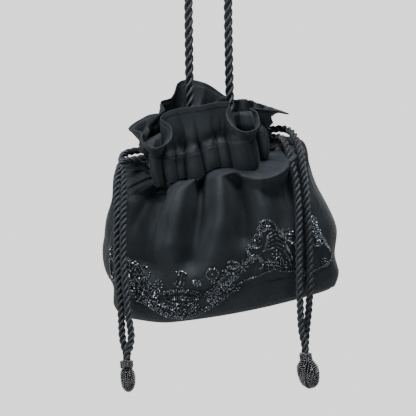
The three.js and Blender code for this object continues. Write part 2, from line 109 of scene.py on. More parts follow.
# Fineness of the meshes
POUCH_COLUMNS = 416
POUCH_ROWS = 104
HEM_ROWS = 12
HEM_REACH = 0.8
HEM_LAP = 0.5
BASE_ROWS = 40
CASING_COLUMNS = 640
CASING_OUTER_ROWS = 18
CASING_INNER_ROWS = 6
RUFFLE_COLUMNS = 620
RUFFLE_ROWS = 56
ROPE_STEP = 1.1
LOBE_POINTS = 13
CURVE_STEPS = 24
FOLD_STEPS = 25
PROFILE_STEP = 0.5

# Three laid strands: how far their centres are from the rope's, and their radius, for a diameter of one
STRAND_CENTRE = 0.262
STRAND_RADIUS = 0.24

# Fine ridges of each cloth: how many waves, their least and most turns round, and the seed
POUCH_RIDGES = (14, 24, 76, 11)
RUFFLE_RIDGES = (12, 20, 64, 17)
RUFFLE_ROLLS = (7, 9, 22, 29)
CASING_RIDGES = (12, 40, 90, 23)
CASING_WRINKLE = 0.35
UNDULATION_SCALE = 22

# The least length of ruffle that gathers or folds, and the length that does so in full
GATHERS_FROM, GATHERS_FULL = 12, 30
FOLDS_FROM, FOLDS_FULL = 12, 34

# Each cloth's own width and height, which its weave follows, in millimetres
POUCH_PLAN = (520, 170)
BASE_PLAN = (520, 60)
RUFFLE_PLAN = (560, 50)
CASING_PLAN = (400, 44)


def rows_of(keys, *rows):
    """A table's rows, each with its numbers under the table's keys."""
    return [dict(zip(keys.split(), row)) for row in rows]


# Sections of the pouch from its seam to the neck, and its front folds, as shares of the sizes above
SECTIONS = rows_of(
    "rise wide deep square",
    (0.0, 1.0, 0.84, 3.2),
    (0.12, 0.975, 0.93, 2.9),
    (0.29, 1.0, 1.0, 2.6),
    (0.48, 0.985, 1.0, 2.4),
    (0.65, 0.935, 0.95, 2.3),
    (0.79, 0.885, 0.86, 2.2),
    (0.91, 0.835, 0.74, 2.1),
    (1.0, 0.66, 0.6, 2.0),
)
FOLDS = rows_of(
    "x0 z0 x1 z1 x2 z2 head tail high",
    (-0.18, 0.76, -0.27, 0.62, -0.4, 0.42, 0.14, 0.18, 0.85),
    (0.11, 0.77, 0.17, 0.52, -0.13, 0.25, 0.13, 0.2, 1.1),
    (-0.03, 0.78, -0.05, 0.57, -0.24, 0.3, 0.07, 0.12, -1.35),
    (-0.4, 0.78, -0.53, 0.57, -0.66, 0.33, 0.12, 0.17, -1.3),
    (0.22, 0.76, 0.56, 0.56, 0.78, 0.83, 0.06, 0.08, 1.2),
    (0.36, 0.77, 0.47, 0.7, 0.6, 0.81, 0.075, 0.08, -1.5),
    (0.26, 0.7, 0.3, 0.55, 0.24, 0.38, 0.07, 0.11, -0.9),
    (0.36, 0.62, 0.46, 0.53, 0.42, 0.38, 0.08, 0.13, 0.5),
    (-0.8, 0.8, -0.88, 0.6, -0.9, 0.42, 0.1, 0.15, 0.3),
    (-0.62, 0.69, -0.54, 0.665, -0.42, 0.665, 0.035, 0.03, -0.45),
)

# Where the pouch puffs out a little more: turn and its half width, rise and its half height, how far
# out and how far up
PUFFS = rows_of(
    "turn wide rise tall out up",
    (0.0, 0.1, 0.3, 0.19, 5.5, 0.0),
    (0.45, 0.055, 0.9, 0.07, -1.5, 15.0),
    (0.02, 0.05, 0.91, 0.06, -1.0, 3.5),
    (0.56, 0.04, 0.84, 0.08, 3.0, 2.0),
)

# The casing's pleats round from the right by the back: place, half width, height, and how far the
# lower edge hangs, the last two as shares of the pleat's depth and drop
FRONT_PLEATS = rows_of(
    "turn half high drop",
    (0.535, 0.024, 0.8, 0.6),
    (0.588, 0.026, 1.1, 1.3),
    (0.637, 0.018, 0.75, 0.5),
    (0.668, 0.014, 0.35, -0.3),
    (0.704, 0.023, 1.3, 0.8),
    (0.747, 0.02, 0.8, -0.2),
    (0.785, 0.017, 0.45, 0.2),
    (0.84, 0.042, 1.5, 1.2),
    (0.905, 0.02, 0.8, 0.4),
    (0.95, 0.022, 0.7, 0.3),
)
BACK_PLEATS = 11
PLEATS = FRONT_PLEATS + [
    dict(turn=0.035 + 0.43 * step / (BACK_PLEATS - 1), half=0.0215, high=0.8 + 0.25 * (step % 2), drop=0.5)
    for step in range(BACK_PLEATS)
]

# Where the neck is lifted or drawn down out of its plain dip: place, half width, share of the dip
LIFTS = rows_of(
    "turn half lift",
    (0.605, 0.05, -0.08),
    (0.765, 0.043, 0.15),
    (0.85, 0.05, -0.14),
)

# The ruffle's rim round from the right: where it springs from the neck, then across, back and up
RIM = rows_of(
    "turn across back up",
    (0, 1.38, -0.03, 0), (0.04, 1.18, 0.2, 0.09), (0.09, 0.89, 0.33, 0.25), (0.14, 0.75, 0.4, 0.38),
    (0.19, 0.55, 0.43, 0.44), (0.23, 0.4, 0.47, 0.58), (0.27, 0.15, 0.5, 0.86), (0.31, -0.16, 0.52, 1.01),
    (0.34, -0.31, 0.45, 0.98), (0.365, -0.47, 0.3, 0.72), (0.39, -0.65, 0.22, 0.67),
    (0.42, -0.63, 0.07, 0.47), (0.45, -0.92, 0.23, 0.45), (0.5, -1.26, 0.03, 0.27),
    (0.53, -1.06, -0.27, 0.13), (0.562, -1.08, -0.5, -0.04), (0.582, -0.86, -0.72, -0.22),
    (0.597, -0.62, -0.7, -0.12), (0.61, -0.56, -0.55, 0.13), (0.625, -0.7, -0.42, 0.34),
    (0.655, -0.57, -0.37, 0.44), (0.69, -0.4, -0.45, 0.46), (0.745, -0.06, -0.5, 0.44),
    (0.795, 0.31, -0.45, 0.44), (0.82, 0.44, -0.36, 0.4), (0.834, 0.36, -0.5, 0.2),
    (0.845, 0.41, -0.74, -0.04), (0.856, 0.62, -0.84, -0.22), (0.868, 0.84, -0.74, -0.15),
    (0.883, 0.86, -0.52, 0.12), (0.92, 0.76, -0.33, 0.23), (0.965, 1.1, -0.3, 0.12),
)

# The broad folds down the front of the ruffle: place, half width, and how far out
RUFFLE_FOLDS = rows_of(
    "turn half out",
    (0.683, 0.024, -4.6),
    (0.738, 0.022, 2.8),
    (0.786, 0.018, -3.6),
)

# The strap's and the drawstrings' centrelines in the hanging frame
STRAP_ROUTE = [
    (-15.2, 0, -184), (-15.4, 0, -170), (-15.6, 0, -150), (-15.9, 0, -130), (-16.2, 0, -105), (-16.6, 0, -75),
    (-16.9, 0, -45), (-17, 0, -20), (-16.2, 0, -7), (-12.1, 0, -1), (-6.2, 0, 2.9), (0, 0, 3.9),
    (6.2, 0, 2.9), (12.1, 0, -1), (16.2, 0, -7), (17, 0, -20), (17.1, 0, -45), (17.4, 0, -75),
    (17.9, 0, -105), (18.4, 0, -130), (18.8, 0, -150), (19.1, 0, -170), (19.3, 0, -176),
]

# Each drawstring: up from its beaded end and in by the slot, round inside the casing, out and down
LEFT_DRAWSTRING = dict(level=CORD_LEVEL, start=0.536, end=1.464, up=[
    (-68.4, -56.9, -364.2), (-68.5, -56.9, -360), (-70.2, -56, -354), (-72.2, -54.5, -345),
    (-73.1, -53.6, -328), (-74.6, -52.4, -310), (-76.1, -51.9, -289), (-77, -51.4, -268),
    (-77, -48.9, -242), (-77.5, -39.6, -221), (-76.3, -29.6, -206.6), (-73.3, -21, -198.2),
    (-67.8, -16, -195.8), (-59.9, -14.7, -194.4),
], down=[
    (-61.2, -4.9, -187.1), (-67.4, -6, -188.4), (-72.8, -11.8, -191.8), (-73.4, -22, -199.9),
    (-71.6, -34.2, -212.5), (-71.3, -45.6, -229.5), (-71.6, -53.8, -246.5), (-71.7, -56.4, -268),
    (-70.8, -57, -289), (-68.8, -57.5, -310), (-66.8, -58.1, -328), (-64.6, -59, -345),
    (-66, -61.8, -354), (-68.1, -64, -360), (-68.2, -64, -364.2),
])
RIGHT_DRAWSTRING = dict(level=-CORD_LEVEL, start=0.036, end=0.964, up=[
    (82.2, -51.8, -358), (82.2, -51.8, -352), (83, -52.3, -340), (85.1, -52.4, -320),
    (86, -52, -299), (85.6, -51.5, -270), (84.2, -50.6, -246), (82.5, -48, -222),
    (80.4, -39.9, -201), (76.8, -27, -182.8), (71.2, -14, -171.6), (64.6, -6.6, -168.4),
    (57.4, -4.9, -168.7),
], down=[
    (58.6, -14.7, -175.7), (62.4, -19.4, -176.6), (66, -28.8, -182.4), (70.2, -39.9, -196),
    (74.3, -48.6, -214), (76.2, -54.1, -235), (76.7, -56.6, -257), (76.8, -57, -285),
    (77.5, -57, -313), (79, -57.5, -340), (81, -57.9, -349), (81.8, -58.4, -354), (81.8, -58.4, -358),
])


def placed(name, data):
    """A new object in the scene."""
    made = bpy.data.objects.new(name, data)
    bpy.context.collection.objects.link(made)
    return made


# Camera at the photograph's angle: level with the bag, from the front
def make_camera():
    data = bpy.data.cameras.new("camera")
    half = PIXELS * PIXEL / 2
    data.sensor_width = SENSOR
    data.lens = SENSOR / 2 * CAMERA_DISTANCE / half
    data.clip_end = CAMERA_CLIP_METRES
    camera = placed("camera", data)
    camera.location = (0, (CAMERA_PLANE - CAMERA_DISTANCE) * MM, -(PIXEL_CENTRE + APEX_ABOVE) * PIXEL * MM)
    camera.rotation_euler = (math.pi / 2, 0, 0)
    bpy.context.scene.camera = camera
    return camera


camera = make_camera()


# Curves, shares and smooth steps
def smooth(low, high, value):
    share = np.clip((value - low) / (high - low), 0, 1)
    return share * share * (3 - 2 * share)


def signed_power(value, power):
    return np.sign(value) * np.abs(value) ** power


def table_at(rows, key, at, column):
    keys = np.array([row[key] for row in rows])
    values = np.array([row[column] for row in rows])
    low = np.clip(np.searchsorted(keys, at) - 1, 0, len(rows) - 2)
    high = low + 1
    before = np.maximum(low - 1, 0)
    after = np.minimum(high + 1, len(rows) - 1)
    span = keys[high] - keys[low]
    share = np.clip((at - keys[low]) / span, 0, 1)
    slope_low = (values[high] - values[before]) / (keys[high] - keys[before])
    slope_high = (values[after] - values[low]) / (keys[after] - keys[low])
    square, cube = share ** 2, share ** 3
    return (values[low] * (2 * cube - 3 * square + 1) + values[high] * (3 * square - 2 * cube)
            + span * (slope_low * (cube - 2 * square + share) + slope_high * (cube - square)))


def through(points, closed=False):
    """Points along a centripetal curve through the given ones."""
    given = np.array(points, float)
    count = len(given)
    if closed:
        padded = np.vstack([given[-1], given, given[:2]])
    else:
        padded = np.vstack([2 * given[0] - given[1], given, 2 * given[-1] - given[-2]])
    share = (np.arange(CURVE_STEPS) / CURVE_STEPS)[:, None]
    square, cube = share ** 2, share ** 3
    found = []
    for place in range(count if closed else count - 1):
        p0, p1, p2, p3 = padded[place:place + 4]
        d0, d1, d2 = (max(np.linalg.norm(b - a) ** 0.5, 1e-6) for a, b in ((p0, p1), (p1, p2), (p2, p3)))
        leave = ((p1 - p0) / d0 - (p2 - p0) / (d0 + d1) + (p2 - p1) / d1) * d1
        reach = ((p2 - p1) / d1 - (p3 - p1) / (d1 + d2) + (p3 - p2) / d2) * d1
        found.append((2 * cube - 3 * square + 1) * p1 + (cube - 2 * square + share) * leave
                     + (3 * square - 2 * cube) * p2 + (cube - square) * reach)
    if not closed:
        found.append(given[-1:])
    return np.vstack(found)


def run_along(points):
    """How far along a line each of its points is."""
    return np.concatenate([[0], np.cumsum(np.linalg.norm(np.diff(points, axis=0), axis=1))])


def sampled(at, run, points):
    """Places on a line, or directions along it, at given runs."""
    return np.stack([np.interp(at, run, column) for column in np.asarray(points).T], axis=1)


def evenly(points, step):
    """The same line with its points evenly spaced, about a step apart."""
    run = run_along(points)
    count = max(int(round(run[-1] / step)), 1)
    return sampled(np.linspace(0, run[-1], count + 1), run, points)


def unit(vectors):
    return vectors / np.maximum(np.linalg.norm(vectors, axis=-1, keepdims=True), 1e-12)


def hung(points):
    """Millimetres in the leaning bag's frame, as metres in the shared frame."""
    x, y, z = np.moveaxis(np.asarray(points, float), -1, 0)
    cos, sin = math.cos(LEAN), math.sin(LEAN)
    return (np.stack([x * cos - z * sin, y, x * sin + z * cos], axis=-1) + BAG_PLACE) * MM


# Meshes
def mesh_piece(name, points, faces, uvs=None, rounded=True):
    mesh = bpy.data.meshes.new(name)
    mesh.from_pydata(points.tolist(), [], faces.tolist() if hasattr(faces, "tolist") else faces)
    if uvs is not None:
        mesh.uv_layers.new(name="cloth").data.foreach_set("uv", np.asarray(uvs, float).ravel())
    mesh.polygons.foreach_set("use_smooth", np.full(len(mesh.polygons), rounded))
    return placed(name, mesh)


def grid_faces(rows, columns):
    """Quads of a grid of points closed round its columns, and each corner's row and unwrapped column."""
    row, column = np.meshgrid(np.arange(rows - 1), np.arange(columns), indexing="ij")
    row, column = row.ravel(), column.ravel()
    corner_rows = np.stack([row, row, row + 1, row + 1], axis=1)
    corner_columns = np.stack([column, column + 1, column + 1, column], axis=1)
    return corner_rows * columns + corner_columns % columns, corner_rows, corner_columns


def only(piece):
    bpy.ops.object.select_all(action="DESELECT")
    piece.select_set(True)
    bpy.context.view_layer.objects.active = piece


def edit_whole():
    """Opens the active piece's mesh with all of it selected."""
    bpy.ops.object.mode_set(mode="EDIT")
    bpy.ops.mesh.select_all(action="SELECT")


def modify(piece, kind, **settings):
    modifier = piece.modifiers.new(kind.lower(), kind)
    for setting, value in settings.items():
        setattr(modifier, setting, value)
    only(piece)
    bpy.ops.object.modifier_apply(modifier=modifier.name)


# Neck ring and pleats
def neck_centre(place):
    turn = place % 1
    angle = turn * 2 * np.pi
    across = NECK_HALF_WIDTH * np.cos(angle)
    dip = ((1 - np.sin(angle)) / 2) ** NECK_CURVE
    for lift in LIFTS:
        dip = dip - lift["lift"] * np.exp(-(((turn - lift["turn"]) / lift["half"]) ** 2))
    rise = NECK_RISE + NECK_SLOPE * across - NECK_DIP * dip
    return np.stack([NECK_SHIFT + across, NECK_HALF_DEPTH * np.sin(angle), rise], axis=-1)


def oval_outward(angle, wide, deep):
    """The level outward side of an oval ring."""
    return unit(np.stack([np.cos(angle) / wide, np.sin(angle) / deep, 0 * angle], axis=-1))


def neck_outward(turn):
    return oval_outward(turn * 2 * np.pi, NECK_HALF_WIDTH, NECK_HALF_DEPTH)


def apart_round(turn, place):
    """How far a place round the ring is, in turns, by the shorter way."""
    return np.abs((turn - place + 0.5) % 1 - 0.5)


def pleats(turn, column):
    """The pleats' relief at each place round the neck: rounded humps with sharp creases between."""
    relief = np.zeros_like(turn)
    for pleat in PLEATS:
        away = apart_round(turn, pleat["turn"]) / pleat["half"]
        relief = np.maximum(relief, pleat[column] * np.clip(1 - away ** 2.6, 0, 1))
    return relief


def neck_face(turn, up, out):
    """The pleated outer face of the casing, some way up from its middle and out from its cloth."""
    reach = CASING_HALF_THICK + out + PLEAT_DEPTH * pleats(turn, "high") - PLEAT_CREASE
    point = neck_centre(turn) + neck_outward(turn) * reach[..., None]
    point[..., 2] += up
    return point


def wrinkles(turn, rise, count, low, high, seed):
    """Fine ridges that run up and down the cloth and drift aside, about one unit high."""
    draw = np.random.default_rng(seed)
    total = np.zeros_like(turn)
    for _ in range(count):
        times = draw.integers(low, high)
        drift = draw.uniform(-1.5, 1.5)
        weight = draw.uniform(0.5, 1) / count ** 0.5
        fade = 0.5 + 0.5 * np.sin(2 * np.pi * (draw.integers(1, 6) * turn + draw.uniform()))
        total = total + weight * fade * np.sin(2 * np.pi * (times * turn + draw.uniform() + drift * rise))
    return total


def undulations(points):
    """Smooth noise over the cloth, about one unit high."""
    heights = [noise.noise(Vector(point) / UNDULATION_SCALE) for point in points.reshape(-1, 3)]
    return np.array(heights).reshape(points.shape[:-1])


def grid_normals(grid):
    """Outward directions of a grid of points that is closed round its columns."""
    ring = np.roll(grid, -1, axis=1) - np.roll(grid, 1, axis=1)
    up = np.gradient(grid, axis=0)
    return unit(np.cross(ring, up))


# Pouch
def fold_height(x, z):
    """How far the front folds stand out: each a ridge along a bent line that widens to its tail."""
    total = np.zeros_like(x)
    steps = np.linspace(0, 1, FOLD_STEPS)
    for fold in FOLDS:
        a, b, c = (1 - steps) ** 2, 2 * steps * (1 - steps), steps ** 2
        fx = HALF_WIDTH * (a * fold["x0"] + b * fold["x1"] + c * fold["x2"])
        fz = NECK_RISE * (a * fold["z0"] + b * fold["z1"] + c * fold["z2"])
        nearest = np.full_like(x, np.inf)
        share = np.zeros_like(x)
        for step in range(len(steps) - 1):
            dx, dz = fx[step + 1] - fx[step], fz[step + 1] - fz[step]
            t = np.clip(((x - fx[step]) * dx + (z - fz[step]) * dz) / (dx * dx + dz * dz), 0, 1)
            distance = np.hypot(x - fx[step] - t * dx, z - fz[step] - t * dz)
            closer = distance < nearest
            nearest = np.where(closer, distance, nearest)
            share = np.where(closer, steps[step] + t * steps[1], share)
        half = HALF_WIDTH * (fold["head"] + (fold["tail"] - fold["head"]) * share)
        fade = 1 - FOLD_FADE * smooth(0.45, 1, share)
        total += FOLD_DEPTH * fold["high"] * fade * np.exp(-((nearest / half) ** 2))
    return total


def pouch_face(turn, rise):
    angle = turn * 2 * np.pi
    neck = neck_face(turn, -CASING_HALF_HEIGHT - SEAM_GAP, -NECK_TUCK)
    wide = HALF_WIDTH * table_at(SECTIONS, "rise", rise, "wide")
    deep = HALF_DEPTH * table_at(SECTIONS, "rise", rise, "deep")
    corner = 2 / table_at(SECTIONS, "rise", rise, "square")
    shift = NECK_SHIFT * smooth(0.6, 1, rise)
    x = shift + wide * signed_power(np.cos(angle), corner)
    y = deep * signed_power(np.sin(angle), corner)
    z = SEAM_RISE + SEAM_GAP + (neck[..., 2] - SEAM_RISE - SEAM_GAP) * rise
    outward = oval_outward(angle, wide, deep)
    front = smooth(0.1, 0.7, -np.sin(angle))
    loose = smooth(0, 0.12, rise) * (1 - smooth(0.94, 1, rise))
    gather = GATHER_DEPTH * smooth(0.45, 0.95, rise) * (2 * pleats(turn, "high") - 1)
    out = loose * (front * fold_height(x, z) + gather)
    point = np.stack([x, y, z], axis=-1) + outward * out[..., None]
    blend = smooth(0.935, 1, rise)[..., None]
    return point * (1 - blend) + neck * blend


def lifted(points):
    """The cloth with the bag's left lower corner drawn up and in."""
    share = smooth(0.5, 1, -points[..., 0] / HALF_WIDTH) * (1 - smooth(5, 70, points[..., 2]))
    return points + share[..., None] * CORNER_LIFT


def pouch_grid():
    """The pouch's cloth, from its turned edge under the base up to the neck."""
    around = np.arange(POUCH_COLUMNS) / POUCH_COLUMNS
    turn, rise = np.meshgrid(around, np.linspace(0, 1, POUCH_ROWS + 1) ** 0.85)
    side = pouch_face(turn, rise)
    under_turn, reach = np.meshgrid(around, np.linspace(HEM_REACH, 1, HEM_ROWS)[:-1])
    grid = lifted(np.concatenate([base_face(under_turn, reach, HEM_LAP), side]))
    share = np.concatenate([np.zeros_like(reach), rise])
    turn = np.concatenate([under_turn, turn])
    fine = WRINKLE * (0.25 + smooth(0.35, 0.9, share)) * wrinkles(turn, share, *POUCH_RIDGES)
    soft = UNDULATION * undulations(grid) * (1 - 0.6 * smooth(0.7, 1, share))
    raised = np.zeros_like(share)
    for puff in PUFFS:
        away = apart_round(turn, puff["turn"]) / puff["wide"]
        full = np.exp(-(away ** 2) - ((share - puff["rise"]) / puff["tall"]) ** 2)
        soft = soft + puff["out"] * full
        raised = raised + puff["up"] * full
    held = (1 - smooth(0.95, 1, share))[..., None]
    return grid + held * (grid_normals(grid) * (fine + soft)[..., None] + UP * raised[..., None])


def base_face(turn, reach, out=0.0):
    """The base from its middle (reach 0) to the seam (1): a sagging floor with a turned-up edge."""
    angle = turn * 2 * np.pi
    corner = 2 / SECTIONS[0]["square"]
    floor = np.minimum(reach / BASE_FLOOR_SHARE, 1)
    bend = np.maximum((reach - BASE_FLOOR_SHARE) / (1 - BASE_FLOOR_SHARE), 0) * np.pi / 2
    inset = BASE_EDGE - (BASE_EDGE + out) * np.sin(bend)
    wide = (HALF_WIDTH * SECTIONS[0]["wide"] - inset) * floor
    deep = (HALF_DEPTH * SECTIONS[0]["deep"] - inset) * floor
    x = wide * signed_power(np.cos(angle), corner)
    y = deep * signed_power(np.sin(angle), corner)
    sag = -BASE_SAG * (1 - (x / HALF_WIDTH) ** 2)
    z = sag + (SEAM_RISE - sag) * (1 - np.cos(bend)) - out * np.cos(bend)
    return np.stack([x, y, z], axis=-1)


# Ruffle
RIM_POINTS = through([(NECK_SHIFT + NECK_HALF_WIDTH * fold["across"], RUFFLE_REACH * fold["back"],
                       NECK_RISE + RUFFLE_HEIGHT * fold["up"]) for fold in RIM], closed=True)


def ruffle_grid():
    """The ruffle's cloth: tucked into the casing, up over a knee, and out to its hemmed rim."""
    place = np.arange(RUFFLE_COLUMNS) / RUFFLE_COLUMNS
    known = np.arange(len(RIM_POINTS) + 1)
    rim = sampled(place * len(RIM_POINTS), known, np.vstack([RIM_POINTS, RIM_POINTS[:1]]))
    turns = [fold["turn"] for fold in RIM] + [1.0]
    turn = np.interp(place * len(RIM), np.arange(len(turns)), turns)
    foot = neck_face(turn, CASING_HALF_HEIGHT + HEADING_GAP, -0.1)
    plain = neck_centre(turn) + neck_outward(turn) * CASING_HALF_THICK + UP * CASING_HALF_HEIGHT
    knee = plain + (rim - plain) * KNEE_SHARE
    standing = smooth(-0.3, 0.5, (rim[:, 2] - NECK_RISE) / RUFFLE_HEIGHT)
    knee[:, 2] = np.maximum(foot[:, 2] + KNEE_RISE * standing, knee[:, 2])
    length = np.linalg.norm(rim - foot, axis=1)
    rise = np.linspace(0, 1, RUFFLE_ROWS + 1)[:, None, None]
    grid = (1 - rise) ** 2 * foot + 2 * rise * (1 - rise) * knee + rise ** 2 * rim
    up = rise[..., 0]
    full = smooth(GATHERS_FROM, GATHERS_FULL, length)
    gather = RUFFLE_GATHER * full * (pleats(turn, "high") - 0.5) * smooth(0, 0.12, up) * (1 - up) ** 2.6
    gather = gather - FOOT_SINK * full * np.exp(-(((up - 0.2) / 0.13) ** 2))
    grid = grid + neck_outward(turn) * gather[..., None]
    places = (turn + 0 * up, up + 0 * turn)
    fine = WRINKLE * wrinkles(*places, *RUFFLE_RIDGES) * smooth(0, 0.1, up) * (1 - 0.6 * up)
    broad = RUFFLE_FOLD * wrinkles(*places, *RUFFLE_ROLLS)
    for fold in RUFFLE_FOLDS:
        broad = broad + fold["out"] * np.exp(-(((turn - fold["turn"]) / fold["half"]) ** 2))
    broad = broad * smooth(0, 0.35, up) * (1 - 0.5 * up) * smooth(FOLDS_FROM, FOLDS_FULL, length)
    from_rim = (1 - up) * length
    hem = HEM_STEP * (smooth(HEM + 0.9, HEM, from_rim) - 0.7 * np.exp(-(((from_rim - HEM) / 0.5) ** 2)))
    tucked = neck_face(turn, CASING_HALF_HEIGHT - TUCK, -RUFFLE_CLOTH)
    loose = 1 - RUFFLE_TIP_HOLD * np.exp(-((apart_round(turn, 0) / 0.06) ** 2))
    out = loose * (fine + broad) + hem
    return np.concatenate([tucked[None], grid + grid_normals(grid) * out[..., None]])


# Casing: a flat tube of cloth round the neck, open at a slot on each side
def casing_grid():
    turn = np.arange(CASING_COLUMNS) / CASING_COLUMNS
    high = pleats(turn, "high") * PLEAT_DEPTH - PLEAT_CREASE
    high = high + CASING_WRINKLE * wrinkles(turn, 0 * turn, *CASING_RIDGES)
    drop = pleats(turn, "drop") * PLEAT_DROP
    centre, outward = neck_centre(turn), neck_outward(turn)
    rows = []
    for step in range(CASING_OUTER_ROWS + 1):
        share = step / CASING_OUTER_ROWS
        bulge = math.sin(share * math.pi)
        full = 1 if share > 0.5 else CASING_EDGE + (1 - CASING_EDGE) * bulge ** 0.5
        out = CASING_HALF_THICK + high * full + CASING_PUFF * bulge * (1 - share)
        up = -CASING_HALF_HEIGHT + 2 * CASING_HALF_HEIGHT * share - drop * (1 - share) ** 2
        rows.append((out, up))
    for step in range(1, CASING_INNER_ROWS):
        share = step / CASING_INNER_ROWS
        out = CASING_HALF_THICK * (1 - 2 * smooth(0, 0.4, share)) + high * (1 - share) * 0.3
        rows.append((out, CASING_HALF_HEIGHT * (1 - 2 * smooth(0.3, 1, share)) + 0 * turn))
    return np.stack([centre + outward * out[:, None] + UP * up[:, None] for out, up in rows])


# Ropes: three strands laid round each other, swept along a route
def rope_section():
    """Radius and angle of the trefoil that three laid strands make, for a diameter of one."""
    away = np.linspace(-np.pi / 3, np.pi / 3, LOBE_POINTS, endpoint=False)
    radius = STRAND_CENTRE * np.cos(away) + np.sqrt(STRAND_RADIUS ** 2 - (STRAND_CENTRE * np.sin(away)) ** 2)
    angles = np.concatenate([away + lobe * 2 * np.pi / 3 for lobe in range(3)])
    return np.tile(radius, 3), angles


def rope_frames(path):
    """Two directions across a path at each of its points, carried along without twist."""
    tangent = unit(np.gradient(path, axis=0))
    side = unit(np.cross(tangent[0], (0.0, 1.0, 0.1)))
    sides = []
    for way in tangent:
        side = unit(side - way * side.dot(way))
        sides.append(side)
    sides = np.array(sides)
    return sides, np.cross(tangent, sides)


def rope_piece(name, route, diameter, lay, node_name):
    """A rope along a route with closed ends, and the path of its middle."""
    path = evenly(through(route), ROPE_STEP)
    side, cross = rope_frames(path)
    radius, angles = rope_section()
    run = np.arange(len(path)) * np.linalg.norm(path[1] - path[0])
    spin = angles[None, :] + (run / lay * 2 * np.pi)[:, None]
    reach = (radius * diameter)[None, :, None]
    spun = np.cos(spin)[..., None] * side[:, None] + np.sin(spin)[..., None] * cross[:, None]
    points = path[:, None] + reach * spun
    rows, columns = points.shape[:2]
    faces, corner_rows, corner_columns = grid_faces(rows, columns)
    turn = np.concatenate([angles, angles[:1] + 2 * np.pi])
    round_at = (turn[corner_columns] + run[corner_rows] / lay * 2 * np.pi) * diameter / 2
    uvs = np.stack([round_at, run[corner_rows]], axis=-1) * MM
    points = np.vstack([points.reshape(-1, 3), path[:1], path[-1:]])
    first, last = len(points) - 2, len(points) - 1
    ring = np.arange(columns)
    beside = (ring + 1) % columns
    top = (rows - 1) * columns
    caps = [(first, int(b), int(a)) for a, b in zip(ring, beside)]
    caps += [(last, int(top + a), int(top + b)) for a, b in zip(ring, beside)]
    uvs = np.vstack([uvs.reshape(-1, 2), np.zeros((3 * len(caps), 2))])
    piece = mesh_piece(name, points * MM, faces.tolist() + caps, uvs)
    return dress(piece, navy_rope, "rope", node_name), path * MM


# Beads: one of each kind is shaped, then copied along strings into joined meshes
def shaped_bead(add, length):
    bpy.ops.object.select_all(action="DESELECT")
    add()
    bead = bpy.context.object
    edit_whole()
    bpy.ops.transform.resize(value=(1, 1, length))
    bpy.ops.mesh.normals_make_consistent(inside=False)
    bpy.ops.object.mode_set(mode="OBJECT")
    points = np.array([vertex.co[:] for vertex in bead.data.vertices])
    faces = [tuple(polygon.vertices) for polygon in bead.data.polygons]
    bpy.data.objects.remove(bead, do_unlink=True)
    return points, faces


def seed_bead():
    """A rounded glass ring, one unit across, its hole along z."""
    return shaped_bead(lambda: bpy.ops.mesh.primitive_torus_add(
        major_segments=8, minor_segments=5, major_radius=0.31, minor_radius=0.19), 1.75)


def bugle_bead():
    """A cut glass tube, one unit long along z, with dished ends."""
    def add():
        bpy.ops.mesh.primitive_cylinder_add(vertices=6, radius=0.5, depth=1, end_fill_type="NGON")
        bpy.ops.object.mode_set(mode="EDIT")
        bpy.ops.mesh.select_all(action="DESELECT")
        bpy.ops.object.mode_set(mode="OBJECT")
        for polygon in bpy.context.object.data.polygons:
            polygon.select = abs(polygon.normal.z) > 0.9
        bpy.ops.object.mode_set(mode="EDIT")
        bpy.ops.mesh.inset(thickness=0.2, depth=-0.12, use_individual=True)
        bpy.ops.object.mode_set(mode="OBJECT")
    return shaped_bead(add, 1)


def stitch_shape():
    """A plump straight stitch, one unit long along z."""
    return shaped_bead(lambda: bpy.ops.mesh.primitive_uv_sphere_add(segments=6, ring_count=5, radius=0.5), 1)


def copies(name, kind, places, axes, outs, sizes, rounded=True):
    """A joined mesh of one bead at each place: its hole along axes, its side towards outs."""
    points, faces = kind
    axes = unit(axes)
    sides = unit(np.cross(axes, outs))
    ups = np.cross(axes, sides)
    turned = (points[None, :, 0, None] * sides[:, None] * sizes[:, 0, None, None]
              + points[None, :, 1, None] * ups[:, None] * sizes[:, 0, None, None]
              + points[None, :, 2, None] * axes[:, None] * sizes[:, 1, None, None])
    everywhere = (places[:, None] + turned).reshape(-1, 3)
    all_faces = [tuple(corner + start for corner in face)
                 for start in range(0, len(everywhere), len(points)) for face in faces]
    return mesh_piece(name, everywhere, all_faces, rounded=rounded)


# Materials
COAT_ROUGHNESS = 0.15


def material(name, color, roughness, specular=0.5, sheen=0.0, sheen_roughness=0.5, coat=0.0, metallic=0.0):
    made = bpy.data.materials.new(name)
    made.use_nodes = True
    values = {"Base Color": (*color, 1), "Roughness": roughness, "Specular IOR Level": specular,
              "Sheen Weight": sheen, "Sheen Roughness": sheen_roughness, "Coat Weight": coat,
              "Coat Roughness": COAT_ROUGHNESS, "Metallic": metallic}
    for name_of_input, value in values.items():
        socket_of(made, name_of_input).default_value = value
    return made


def socket_of(made, name):
    """One of the inputs of a material's shader."""
    return made.node_tree.nodes["Principled BSDF"].inputs[name]


def node(tree, kind, **settings):
    """A new node, with values for its inputs and its own settings."""
    made = tree.nodes.new(kind)
    for setting, value in settings.items():
        if setting in made.inputs:
            made.inputs[setting].default_value = value
        else:
            setattr(made, setting, value)
    return made


def ramp(tree, source, low, high, start=0.0, end=1.0):
    made = tree.nodes.new("ShaderNodeValToRGB")
    for stop, at, color in zip(made.color_ramp.elements, (start, end), (low, high)):
        stop.position = at
        stop.color = (*color, 1)
    tree.links.new(source, made.inputs["Fac"])
    return made


def pattern(made, by, kind, **settings):
    """What a pattern gives, laid by the cloth's own coordinates (UV) or by the object's (Object)."""
    tree = made.node_tree
    if by == "UV":
        way = node(tree, "ShaderNodeUVMap", uv_map="cloth")
    else:
        way = node(tree, "ShaderNodeTexCoord")
    texture = node(tree, kind, **settings)
    tree.links.new(way.outputs[by], texture.inputs["Vector"])
    return texture.outputs["Fac"]


